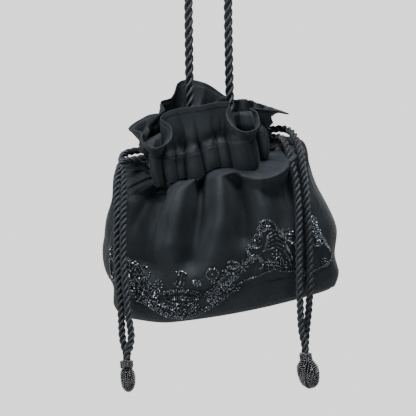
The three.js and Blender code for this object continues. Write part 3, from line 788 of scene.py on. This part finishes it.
def toned(made, source, low, high, start=0.0, end=1.0):
    """The base colour runs between two tones by a pattern."""
    tone = ramp(made.node_tree, source, low, high, start, end)
    made.node_tree.links.new(tone.outputs["Color"], socket_of(made, "Base Color"))


def roughened(made, source, low, high):
    """The roughness runs between two values by a pattern."""
    limits = {"From Min": 0.3, "From Max": 0.7, "To Min": low, "To Max": high}
    gloss = node(made.node_tree, "ShaderNodeMapRange", **limits)
    made.node_tree.links.new(source, gloss.inputs["Value"])
    made.node_tree.links.new(gloss.outputs["Result"], socket_of(made, "Roughness"))


def embossed(made, source, strength, distance):
    """Relief by a pattern, over any that was laid before it."""
    tree, normal = made.node_tree, socket_of(made, "Normal")
    relief = node(tree, "ShaderNodeBump", Strength=strength, Distance=distance)
    tree.links.new(source, relief.inputs["Height"])
    if normal.is_linked:
        tree.links.new(normal.links[0].from_socket, relief.inputs["Normal"])
    tree.links.new(relief.outputs["Normal"], normal)


def satin_material():
    """Dull satin: a fine weave across and along the cloth, crumples and a cloudy tone."""
    made = material("black_satin", (0.009, 0.0115, 0.0135), 0.5, 0.36, 0.06, 0.4)
    warp = pattern(made, "UV", "ShaderNodeTexWave", bands_direction="X", Scale=1000 / 0.5, Distortion=1.5)
    weft = pattern(made, "UV", "ShaderNodeTexWave", bands_direction="Y", Scale=1000 / 0.75, Distortion=1.0)
    cloud = pattern(made, "Object", "ShaderNodeTexNoise", Scale=38.0, Detail=5.0, Roughness=0.6)
    slub = pattern(made, "Object", "ShaderNodeTexNoise", Scale=420.0, Detail=3.0, Roughness=0.6)
    toned(made, cloud, (0.0066, 0.0092, 0.012), (0.0112, 0.0148, 0.0188), 0.3, 0.7)
    roughened(made, slub, 0.6, 0.72)
    crossing = node(made.node_tree, "ShaderNodeMath", operation="ADD")
    for entry, thread_way in enumerate((warp, weft)):
        made.node_tree.links.new(thread_way, crossing.inputs[entry])
    embossed(made, crossing.outputs["Value"], 0.25, 0.0001)
    embossed(made, slub, 0.35, 0.0006)
    return made


def rope_material():
    """Rayon rope: fine yarns along each strand, with a silky sheen."""
    made = material("navy_rope", (0.014, 0.017, 0.021), 0.44, 0.42, 0.12, 0.35)
    yarn = pattern(made, "UV", "ShaderNodeTexWave", bands_direction="X", Scale=1000 / 2.4, Distortion=2.5,
                   Detail=2.0)
    toned(made, yarn, (0.011, 0.0135, 0.017), (0.021, 0.025, 0.031))
    embossed(made, yarn, 0.5, 0.0002)
    return made


def jet_material():
    """Black glass beads, each a little different in depth."""
    made = material("jet_glass", (0.003, 0.0035, 0.005), 0.12, 1.0, coat=1.0)
    patch = pattern(made, "Object", "ShaderNodeTexNoise", Scale=600.0, Detail=2.0)
    toned(made, patch, (0.002, 0.0025, 0.0035), (0.006, 0.007, 0.0095), 0.35, 0.65)
    roughened(made, patch, 0.06, 0.22)
    return made


satin = satin_material()
navy_rope = rope_material()
jet = jet_material()
# A lighter, metallic copy of the black jet glass: painted glints on the beads given it, while its flat facets
# and coat also catch the lamps
painted_glint_jet = material("jet_glass_painted_glint", (0.25, 0.27, 0.31), 0.22, 1.0, coat=1.0, metallic=0.65)
thread = material("black_thread", (0.01, 0.012, 0.014), 0.5, 0.4, sheen=0.2)


def dress(piece, finish, slot, *nodes_replaced):
    """Gives a piece its finish and its body, and hides the plain nodes it stands for. The slot is not used.
    """
    piece.data.materials.append(finish)
    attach(piece, "root")
    if nodes_replaced:
        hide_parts(*nodes_replaced)
    return piece


# Cords
def drawstring_route(cord):
    turn = cord["start"] + (cord["end"] - cord["start"]) * np.arange(RING_STEPS + 1) / RING_STEPS
    ring = neck_centre(turn)
    ring[:, 2] += cord["level"]
    return np.vstack([cord["up"], hung(ring) / MM, cord["down"]])


LEFT_ROUTE = drawstring_route(LEFT_DRAWSTRING)
RIGHT_ROUTE = drawstring_route(RIGHT_DRAWSTRING)
DRAWSTRING = (DRAWSTRING_DIAMETER, DRAWSTRING_LAY)
strap_rope, strap_path = rope_piece("strap_rope", STRAP_ROUTE, STRAP_DIAMETER, STRAP_LAY, "strap_cord")
left_rope, left_path = rope_piece("left_rope", LEFT_ROUTE, *DRAWSTRING, "left_drawstring")
right_rope, right_path = rope_piece("right_rope", RIGHT_ROUTE, *DRAWSTRING, "right_drawstring")


# Cloth
WELD = 0.00001


def cloth_piece(name, grid, plan, node_name, wall, keep=None):
    """A ring of cloth with its wall laid inwards of the grid, and of its faces only those to keep."""
    rows, columns = grid.shape[:2]
    faces, corner_rows, corner_columns = grid_faces(rows, columns)
    along = np.arange(columns + 1) / columns * plan[0] * MM
    up = np.arange(rows) / (rows - 1) * plan[1] * MM
    uvs = np.stack([along[corner_columns], up[corner_rows]], axis=-1)
    if keep:
        kept = keep(corner_rows[:, 0], corner_columns[:, 0])
        faces, uvs = faces[kept], uvs[kept]
    piece = mesh_piece(name, hung(grid).reshape(-1, 3), faces, uvs)
    if keep:
        only(piece)
        edit_whole()
        bpy.ops.mesh.remove_doubles(threshold=WELD)
        bpy.ops.object.mode_set(mode="OBJECT")
    modify(piece, "SOLIDIFY", thickness=wall * MM, offset=-1)
    return dress(piece, satin, "satin", node_name)


pouch_points = pouch_grid()
pouch = cloth_piece("pouch_cloth", pouch_points, POUCH_PLAN, "pouch", CLOTH)
turn, reach = np.meshgrid(np.arange(POUCH_COLUMNS) / POUCH_COLUMNS, np.linspace(0.01, 1, BASE_ROWS + 1))
base_points = lifted(base_face(turn, reach))
base = cloth_piece("base_cloth", base_points, BASE_PLAN, "base_panel", CLOTH)
ruffle = cloth_piece("ruffle_cloth", ruffle_grid(), RUFFLE_PLAN, "ruffle", RUFFLE_CLOTH)


def casing_piece(name, half, node_name):
    """The front (1) or back (0) half of the casing, from side seam to side seam."""
    grid = casing_grid()

    def keep(row, column):
        angle = (column + 0.5) / CASING_COLUMNS * 2 * np.pi
        side = np.abs(NECK_HALF_DEPTH * np.sin(angle))
        slot = (np.abs(np.cos(angle)) > 0.5) & (side < SLOT_HALF_WIDTH)
        slot = slot & (row >= 1) & (row < CASING_OUTER_ROWS - 1)
        return ~slot & ((column >= CASING_COLUMNS // 2) == bool(half))

    return cloth_piece(name, np.concatenate([grid, grid[:1]]), CASING_PLAN, node_name, CASING_WALL, keep)


casing = casing_piece("casing_front_cloth", 1, "casing_front")
casing_rear = casing_piece("casing_back_cloth", 0, "casing_back")


# Stitches: a row along each edge of the casing and one along the ruffle's hem
STITCH = 1.5
STITCH_GAP = 0.9
STITCH_THICK = 0.42
STITCH_LIFT = 0.05
HEM_STITCH_ROW = RUFFLE_ROWS - 4


def stitch_row(points, outs):
    """Places, directions and outward sides of the stitches along a line."""
    run = run_along(points)
    at = np.arange(STITCH, run[-1], STITCH + STITCH_GAP)
    place, ahead = sampled(at, run, points), sampled(at + 0.3, run, points)
    return place, unit(ahead - place + 1e-9), unit(sampled(at, run, outs))


def stitches():
    casing_rows = casing_grid()
    casing_outs = grid_normals(casing_rows[:CASING_OUTER_ROWS + 1])
    heading = ruffle_grid()
    heading_outs = grid_normals(heading)
    rows = [stitch_row(casing_rows[row], casing_outs[row]) for row in (1, CASING_OUTER_ROWS - 2)]
    rows.append(stitch_row(heading[HEM_STITCH_ROW], heading_outs[HEM_STITCH_ROW]))
    place, ways, outs = (np.vstack(group) for group in zip(*rows))
    sizes = np.tile([STITCH_THICK, STITCH], (len(place), 1)) * MM
    spun = hung(np.stack([place + outs * STITCH_LIFT, place + ways, place + outs]))
    piece = copies("stitch_rows", stitch_shape(), spun[0], spun[1] - spun[0], spun[2] - spun[0], sizes)
    dress(piece, thread, "satin")


stitches()


# Beaded ends
def end_place(route):
    """Where a beaded end hangs: under the middle between its cord's two ends."""
    return (np.array(route[0]) + np.array(route[-1])) / 2 - (0, 0, SEAM_GAP)


BULB = rows_of(
    "radius up",
    (0.0, 1.0), (0.56, 1.0), (0.66, 0.95), (0.66, 0.84), (0.86, 0.74), (1.0, 0.52), (0.97, 0.3),
    (0.78, 0.11), (0.42, 0.02), (0.0, 0.0),
)
LEFT_END = (13, 25.5)
RIGHT_END = (19, 29)
LEFT_END_LEAN = 0.06
RIGHT_END_LEAN = 0.15
END_BEAD = 2.0
CAP_RADIUS = DRAWSTRING_DIAMETER + 0.6
CAP_SHARE = 0.8
CAP_FLAT = 0.7
BULB_TOP = 0.6


def cap_flat(drop, height):
    """How narrow a beaded end is from side to side at a drop below its top."""
    return 1 - (1 - CAP_FLAT) * smooth(-height * (1 - BULB_TOP), -height * (1 - CAP_SHARE), drop)


def end_profile(width, height):
    """A beaded end's outline from its top down: reach and drop."""
    points = [(max(row["radius"] * width / 2, CAP_RADIUS if row["up"] > CAP_SHARE and row["radius"] else 0),
               -height * (1 - row["up"])) for row in BULB]
    return evenly(through(points), PROFILE_STEP)


def end_core(name, route, size, lean):
    """The padded core inside a beaded end: a bulb with a short cap on it."""
    width, height = size
    place = Vector(end_place(route) * MM)
    parts = []
    # The bulb, then the cap: half width, half height, and how far down its middle is
    for cap, wide, high, drop in ((False, width / 2 - 0.9, height * 0.41, height * 0.57),
                                  (True, CAP_RADIUS - 1.0, height * 0.12, height * 0.13)):
        bpy.ops.object.select_all(action="DESELECT")
        if cap:
            bpy.ops.mesh.primitive_cylinder_add(vertices=24, radius=1, depth=2)
        else:
            bpy.ops.mesh.primitive_uv_sphere_add(segments=28, ring_count=16, radius=1)
        edit_whole()
        flat = CAP_FLAT if cap else 1
        bpy.ops.transform.resize(value=(wide * flat * MM, wide * MM, high * MM))
        bpy.ops.transform.translate(value=place + Vector((lean * drop, 0, -drop)) * MM)
        bpy.ops.object.mode_set(mode="OBJECT")
        parts.append(bpy.context.object)
    bpy.ops.object.select_all(action="DESELECT")
    for part in parts:
        part.select_set(True)
    bpy.context.view_layer.objects.active = parts[0]
    bpy.ops.object.join()
    parts[0].name = name
    return dress(parts[0], jet, "jet_beads")


def wound(reach, angle, drop):
    """Points at a reach and an angle round a beaded end's middle line."""
    return np.stack([reach * np.cos(angle), reach * np.sin(angle), drop], axis=1)


def beaded_end(name, route, size, lean, node_name, seed):
    """Strings of seed beads over the core, wound rings round its cap, and loose loops at its top."""
    draw = np.random.default_rng(seed)
    width, height = size
    profile = end_profile(width, height)
    bulb = profile[(profile[:, 0] > 0.15 * width / 2) & (profile[:, 1] < -0.18 * height)]
    strings = int(round(np.pi * width / END_BEAD / 1.02))
    lines = []
    for string in range(strings):
        angle = 2 * np.pi * (string + draw.uniform(-0.2, 0.2)) / strings
        line = evenly(bulb - (END_BEAD * 0.45, 0), END_BEAD * 0.8)
        line[:, 1] += draw.uniform(-0.4, 0.4) * END_BEAD
        wave = angle + 0.1 * np.sin(line[:, 1] / height * 3 * np.pi + string) + 0.5 * line[:, 1] / height
        around = line[:, 0] + draw.normal(0, 0.12, len(line))
        lines.append(wound(around, wave, line[:, 1]))
    for ring in range(3):
        wave = np.linspace(0, 2 * np.pi, int(2 * np.pi * CAP_RADIUS / END_BEAD / 0.82))
        drop = -END_BEAD * (0.5 + 0.86 * ring) + 0.4 * np.sin(wave + ring)
        lines.append(wound(CAP_RADIUS - END_BEAD * 0.42, wave, drop))
    for loop in range(3):
        wave = np.linspace(0, 2 * np.pi, 14)
        tilt = draw.uniform(-0.6, 0.6)
        side = -CAP_RADIUS + 0.5 + 1.6 * loop
        ahead = -CAP_RADIUS * 0.75 - 1.2 * np.sin(wave) * 0.6
        drop = -height * 0.13 + (2.6 + 0.3 * loop) * np.sin(wave)
        lines.append(np.stack([side + 1.4 * np.cos(wave) * tilt, ahead, drop], axis=1))
    points = np.vstack(lines)
    axes = np.vstack([np.gradient(line, axis=0) for line in lines])
    outs = unit(points * (1, 1, 0)) + (0, 0, 0.2)
    points[:, 0] = points[:, 0] * cap_flat(points[:, 2], height) - lean * points[:, 2]
    sizes = END_BEAD * draw.uniform((0.88, 0.74), (1.05, 0.9), (len(points), 2)) * MM
    piece = copies(name, seed_bead(), (points + end_place(route)) * MM, axes, outs, sizes)
    return dress(piece, jet, "jet_beads", node_name)


left_end = beaded_end("left_bead_bulb", LEFT_ROUTE, LEFT_END, LEFT_END_LEAN, "left_beaded_end", 3)
right_end = beaded_end("right_bead_bulb", RIGHT_ROUTE, RIGHT_END, RIGHT_END_LEAN, "right_beaded_end", 5)
left_core = end_core("left_bead_core", LEFT_ROUTE, LEFT_END, LEFT_END_LEAN)
right_core = end_core("right_bead_core", RIGHT_ROUTE, RIGHT_END, RIGHT_END_LEAN)


# Bead embroidery, charted where the photograph shows it, in its pixels, and laid on the cloth
SEED = 1.9
SEED_LONG = 0.72
SEED_PITCH = 0.86
BEAD_LIFT = 0.42
BUGLE = (1.25, 3.2)
BUGLE_GAP = 0.4
ROW_GAP = 0.96
CHART_STEP = 0.8
LACE_STEP = 0.5
# Shares of the beads, drawn by chance, that get the lighter metallic glass as painted glints
GLINTING = 0.36
BUGLES_GLINTING = 0.2
PETALS_GLINTING = 0.6
PEAK_GLINTING = 0.12
cloth_rows = [hung(pouch_points), hung(base_points)]
cloth_points = np.vstack([rows.reshape(-1, 3) for rows in cloth_rows])
side_faces = grid_faces(*cloth_rows[0].shape[:2])[0]
floor_faces = grid_faces(*cloth_rows[1].shape[:2])[0] + cloth_rows[0].shape[0] * cloth_rows[0].shape[1]
cloth_tree = BVHTree.FromPolygons(cloth_points.tolist(), np.vstack([side_faces, floor_faces]).tolist())


def on_cloth(chart):
    """Where the photograph's points fall on the cloth, in millimetres, and the cloth's outward side."""
    eye = camera.location
    places, outs = [], []
    for px, py in np.atleast_2d(chart):
        target = Vector(((px - PIXEL_CENTRE) * PIXEL, CAMERA_PLANE, -(py + APEX_ABOVE) * PIXEL)) * MM
        hit, out, _, _ = cloth_tree.ray_cast(eye, (target - eye).normalized())
        if hit:
            places.append(hit / MM)
            outs.append(out)
    return np.array(places), np.array(outs)


def laid(chart, pitch, side=0.0):
    """A charted line's bead places, a pitch apart on the cloth, moved aside by some of a bead."""
    places, outs = on_cloth(evenly(through(chart), CHART_STEP))
    run = run_along(places)
    at = np.arange(pitch / 2, run[-1], pitch)
    place, out = sampled(at, run, places), unit(sampled(at, run, outs))
    way = unit(np.gradient(place, axis=0)) if len(place) > 1 else np.tile((1.0, 0, 0), (len(place), 1))
    return place + np.cross(out, way) * side, way, out


class Beads:
    """Beads of one kind and finish, gathered up before they are joined."""

    def __init__(self, seed):
        self.draw = np.random.default_rng(seed)
        self.places, self.ways, self.outs, self.sizes = [], [], [], []

    def add(self, place, way, out, wide, long, loose):
        place = np.atleast_2d(place)
        count = len(place)
        shift = self.draw.normal(0, loose * wide, (count, 3))
        self.places.append(place + shift + out * wide * BEAD_LIFT)
        self.ways.append(np.broadcast_to(way, place.shape) + self.draw.normal(0, loose, (count, 3)))
        self.outs.append(np.broadcast_to(out, place.shape))
        grow = self.draw.uniform(0.9, 1.08, (count, 1))
        self.sizes.append(np.hstack([wide * grow, np.full((count, 1), long)]))

    def joined(self, name, kind, finish, rounded):
        groups = (self.places, self.ways, self.outs, self.sizes)
        places, ways, outs, sizes = (np.vstack(group) for group in groups)
        dress(copies(name, kind, places * MM, ways, outs, sizes * MM, rounded), finish, "jet_beads")


seeds, painted_glint_seeds, bugles, painted_glint_bugles = Beads(31), Beads(37), Beads(41), Beads(43)


def strung(line, plain, painted_glint_beads, glint, wide, long, loose, painted_glint_loose):
    """Beads at a line's places, a share of them, by chance, in the lighter glass as painted glints."""
    glinting = plain.draw.random(len(line[0])) < glint
    for beads, chosen, shake in ((plain, ~glinting, loose), (painted_glint_beads, glinting, painted_glint_loose)):
        beads.add(*(part[chosen] for part in line), wide, long, shake)


def chain(chart, rows=1, beads=seeds, size=SEED, loose=0.08, glint=GLINTING):
    """Rows of seed beads side by side along a charted line."""
    for row in range(rows):
        line = laid(chart, size * SEED_PITCH, (row - (rows - 1) / 2) * size * ROW_GAP)
        strung(line, beads, painted_glint_seeds, glint, size, size * SEED_LONG, loose, 2 * loose)


def bugle_line(chart):
    """Bugle beads end to end along a charted line."""
    line = laid(chart, BUGLE[1] + BUGLE_GAP)
    strung(line, bugles, painted_glint_bugles, BUGLES_GLINTING, *BUGLE, 0.1, 0.1)


def around(chart_point):
    """A point on the cloth with the two ways across it."""
    place, out = on_cloth(chart_point)
    side = unit(np.cross(UP, out[0]))
    return place[0], side, np.cross(out[0], side), out[0]


def flower(x, y, radius, petals, size=SEED):
    """A ring of seed beads round one bead of the lighter glass, a painted glint."""
    centre, side, up, out = around((x, y))
    angle = np.arange(petals)[:, None] / petals * 2 * np.pi
    ring = centre + radius * (np.cos(angle) * side + np.sin(angle) * up)
    way = np.cos(angle) * up - np.sin(angle) * side
    line = (ring, way, np.broadcast_to(out, ring.shape))
    strung(line, seeds, painted_glint_seeds, PETALS_GLINTING, size, size * SEED_LONG, 0.06, 0.06)
    painted_glint_seeds.add(centre[None] + out * 0.3, side, out, size * 1.15, size * 0.8, 0.06)


def fan(x, y, start, end, count, near, far):
    """Bugle beads that spread from a point, over a range of degrees."""
    centre, side, up, out = around((x, y))
    angle = np.radians(np.linspace(start, end, count))[:, None]
    way = np.cos(angle) * side + np.sin(angle) * up
    bugles.add(centre + way * (near + far) / 2, way, out, BUGLE[0], far - near, 0.03)


def lace(lower, upper, count, glint):
    """A string that runs from side to side of the band between two charted edges."""
    low, high = evenly(through(lower), LACE_STEP), evenly(through(upper), LACE_STEP)
    corners_at = [low[int(place * (len(low) - 1))] if step % 2 else high[int(place * (len(high) - 1))]
                  for step, place in enumerate(np.linspace(0, 1, count))]
    chain(corners_at, size=SEED * 0.92, glint=glint)


# Edges of the left scallop, then the whole band's chains, flowers, laces and leaves
LEFT_TOP = [(110, 247), (120, 254.5), (129, 260.6), (136.9, 265.1), (142.5, 273), (147, 280.9),
            (152.6, 287.6), (162.8, 292.1), (172.9, 290.4), (183, 290.4), (195, 292), (205.5, 295.5)]
LEFT_LOW = [(110, 276), (121, 283), (131.3, 291), (136.9, 298.9), (144.8, 302.3), (153.8, 307.9),
            (162.8, 313.5), (171.8, 315.8), (180.8, 316.9), (189.8, 315.8), (198.8, 312.4), (207.8, 307.9),
            (216.8, 302.3), (225.8, 295.5), (232.5, 289.9)]
LEFT_MID = [(110, 258), (121, 265), (130, 271.5), (136, 279), (142, 287), (150, 294), (158, 299.5)]
CHAINS = (
    (LEFT_TOP, 2), (LEFT_LOW, 2), (LEFT_MID, 1),
    ([(129, 277), (136, 287), (144, 295), (153, 301), (163, 306), (174, 309)], 1),
    ([(143.5, 266), (148.5, 269), (150.5, 275), (147, 279.5)], 1),
    ([(165, 298), (173, 292.5), (183, 290.8), (193, 293), (199, 297.5)], 1),
    ([(165, 299), (174, 303.4), (184, 304.4), (193, 302), (199, 298.5)], 1),
    ([(170, 299), (180, 298), (190, 298.6), (196, 298)], 2),
    ([(205.5, 295.5), (213, 287.5), (219, 282)], 2),
    ([(219, 282), (221.3, 277.5), (224, 270.5), (230.3, 266.3)], 2),
    ([(226, 263), (231, 261), (236, 263), (240, 266)], 1),
    ([(225, 270), (231, 272), (237, 270), (241, 267)], 1),
    ([(230.3, 266.3), (236, 268), (241.5, 266.3), (248.3, 258.4), (247.1, 248.3)], 2),
    ([(247.1, 248.3), (250, 246), (255, 247), (253.9, 240.4), (257.3, 234.8), (259.5, 228),
      (262.9, 221.3)], 2),
    ([(262.9, 221.3), (267.4, 219.8), (270, 221.5), (274.1, 224.6), (277.5, 231.4), (283, 237), (291, 242.6),
      (299, 248)], 1),
    ([(258, 240), (262, 233), (267, 229.5), (272, 230)], 1),
    ([(216, 281), (223, 276.5), (230, 272.5)], 1),
    ([(237, 284), (244.9, 279.8), (251.6, 277.5), (258.4, 275.8), (268.5, 270.8), (275.3, 268.5),
      (282, 270.8), (288.8, 270.8), (298, 271)], 1),
    ([(259, 254), (262, 258), (262.5, 264), (260, 269)], 1),
    ([(247, 262), (250, 257), (255, 253)], 1),
    ([(248, 248), (256, 248.5), (262, 246)], 1),
    ([(311, 223.5), (310, 231), (311, 239), (314, 247)], 1),
    ([(327, 247), (329.5, 250.5), (330.4, 254), (330.4, 259.5), (327.5, 264), (322, 267), (316, 269.5),
      (311, 271.5)], 1),
)
# Chains wholly in the lighter metallic glass: painted glints over the dense branches
PAINTED_GLINT_CHAINS = (
    ([(207.8, 302.3), (215.6, 293.3), (223.5, 286.5), (230.3, 279.8), (237, 273)], 4),
    ([(228, 267), (232, 267), (237, 266)], 2),
    ([(312.9, 216.5), (313.6, 224), (315.8, 232.5), (318.5, 239), (319, 246)], 4),
    ([(318, 229), (321.4, 237), (325, 243), (327, 247)], 2),
)
FLOWERS = (
    (158.8, 284.3, 3.6, 8), (197, 282, 3.1, 8), (236.4, 287.6, 2.5, 6), (276.4, 253.9, 3.2, 8),
    (323.6, 261.8, 3.0, 8), (304.5, 271.9, 2.6, 7), (175, 307.5, 2.6, 7), (196, 306.5, 3.0, 8),
    (241.5, 266.5, 3.2, 8), (132, 283, 2.4, 6), (267, 226, 2.2, 6), (213, 281, 1.8, 5),
    (148, 300.5, 2.2, 6), (289.3, 231.9, 2.6, 7), (269.5, 262, 2.2, 6),
)
LACES = (
    (LEFT_LOW[:6], LEFT_MID, 17, GLINTING),
    (LEFT_MID, LEFT_TOP[:8], 19, GLINTING),
    (LEFT_LOW[5:10], [(158, 300), (170, 305), (184, 307), (199, 303)], 15, GLINTING),
    ([(216, 302), (226, 294), (236, 284)], [(211, 303), (221, 293), (231, 283)], 13, GLINTING),
    ([(256, 250), (262, 240), (266, 228)], [(250, 247), (256, 236), (262, 224)], 9, PEAK_GLINTING),
    ([(262, 262), (275, 258), (290, 256)], [(262, 270), (275, 268), (292, 268)], 11, PEAK_GLINTING),
    ([(281, 228), (288, 236), (297, 243)], [(277, 232), (285, 242), (295, 250)], 9, PEAK_GLINTING),
)
LEAVES = (
    [(283, 250), (287, 255), (290, 262)], [(287, 249), (291, 254), (292, 261)],
    [(270, 260.5), (275, 262), (279, 264.5)], [(271, 264.5), (275, 265.5), (280, 265)],
    [(176, 283.5), (179, 272.5)], [(179.5, 285), (182.5, 273.5)], [(183, 285.5), (186, 274.5)],
    [(176, 272), (182, 271.5), (188, 275)], [(173.5, 282), (178, 286), (184, 287)],
)
CHEVRONS = 5
CHEVRON_RISE = 4.4
for chart, rows in CHAINS:
    chain(chart, rows)
for chart, rows in PAINTED_GLINT_CHAINS:
    chain(chart, rows, painted_glint_seeds, SEED * 0.95, 0.16)
for x, y, radius, petals in FLOWERS:
    flower(x, y, radius, petals)
for lower, upper, count, glint in LACES:
    lace(lower, upper, count, glint)
# The ring round a bead of painted glint, the leaves, the chevrons of the peak and the fans of bugles
flower(212.3, 273.5, 5.0, 15, SEED * 0.9)
for leaf in LEAVES:
    bugle_line(leaf)
for step in range(CHEVRONS):
    rise = CHEVRON_RISE * (step - CHEVRONS / 2)
    bugle_line([(262 + 1.2 * step, 246 - rise * 0.5), (268, 240.5 - rise * 0.8), (275.5, 235.5 - rise)])
    bugle_line([(275.5, 235.5 - rise), (283, 240 - rise * 0.8), (290 - 1.2 * step, 246 - rise * 0.5)])
fan(256.7, 261.5, -10, 190, 11, 2.2, 5.6)
fan(241.5, 266.5, 0, 360, 9, 4.0, 6.4)
seeds.joined("bead_chains", seed_bead(), jet, True)
# The beads of the lighter glass, painted glints, join in meshes of their own
painted_glint_seeds.joined("bead_fills_painted_glint", seed_bead(), painted_glint_jet, False)
bugles.joined("bead_bugles", bugle_bead(), jet, False)
painted_glint_bugles.joined("bugles_painted_glint", bugle_bead(), painted_glint_jet, False)


# Studio: a pale floor well under the hanging bag, a pale surround, and soft lamps
FLOOR_DROP = -0.9
FLOOR_HALF = 7
LAMP_AIM = Vector((0, 0, -0.25))
LAMP_COLOR = (0.93, 0.97, 1.0)
LAMPS = (
    ("window", (-1.2, -0.8, 0.7), 0.8, 27),
    ("fill", (1.3, -1.4, 0.4), 0.6, 6),
    ("ceiling", (0.1, -0.35, 1.05), 0.6, 25),
)


def make_studio():
    bpy.ops.object.select_all(action="DESELECT")
    bpy.ops.mesh.primitive_plane_add(size=2 * FLOOR_HALF, location=(0, 0, FLOOR_DROP))
    floor = bpy.context.object
    floor.name = "floor"
    floor.data.materials.append(material("pale_floor", (0.8, 0.8, 0.79), 0.8))
    world = bpy.data.worlds.new("surround")
    world.use_nodes = True
    tree = world.node_tree
    background = tree.nodes["Background"]
    way = tree.nodes.new("ShaderNodeTexCoord")
    apart = tree.nodes.new("ShaderNodeSeparateXYZ")
    tree.links.new(way.outputs["Generated"], apart.inputs["Vector"])
    screen = ramp(tree, apart.outputs["Y"], (0.075, 0.082, 0.09), (1.62, 1.62, 1.6), 0.45, 0.8)
    tree.links.new(screen.outputs["Color"], background.inputs["Color"])
    background.inputs["Strength"].default_value = 1.0
    bpy.context.scene.world = world
    for name, place, size, power in LAMPS:
        data = bpy.data.lights.new(name, "AREA")
        data.size = size
        data.energy = power
        data.color = LAMP_COLOR
        lamp = placed(name, data)
        lamp.location = place
        lamp.rotation_euler = (LAMP_AIM - Vector(place)).to_track_quat("-Z", "Y").to_euler()


make_studio()
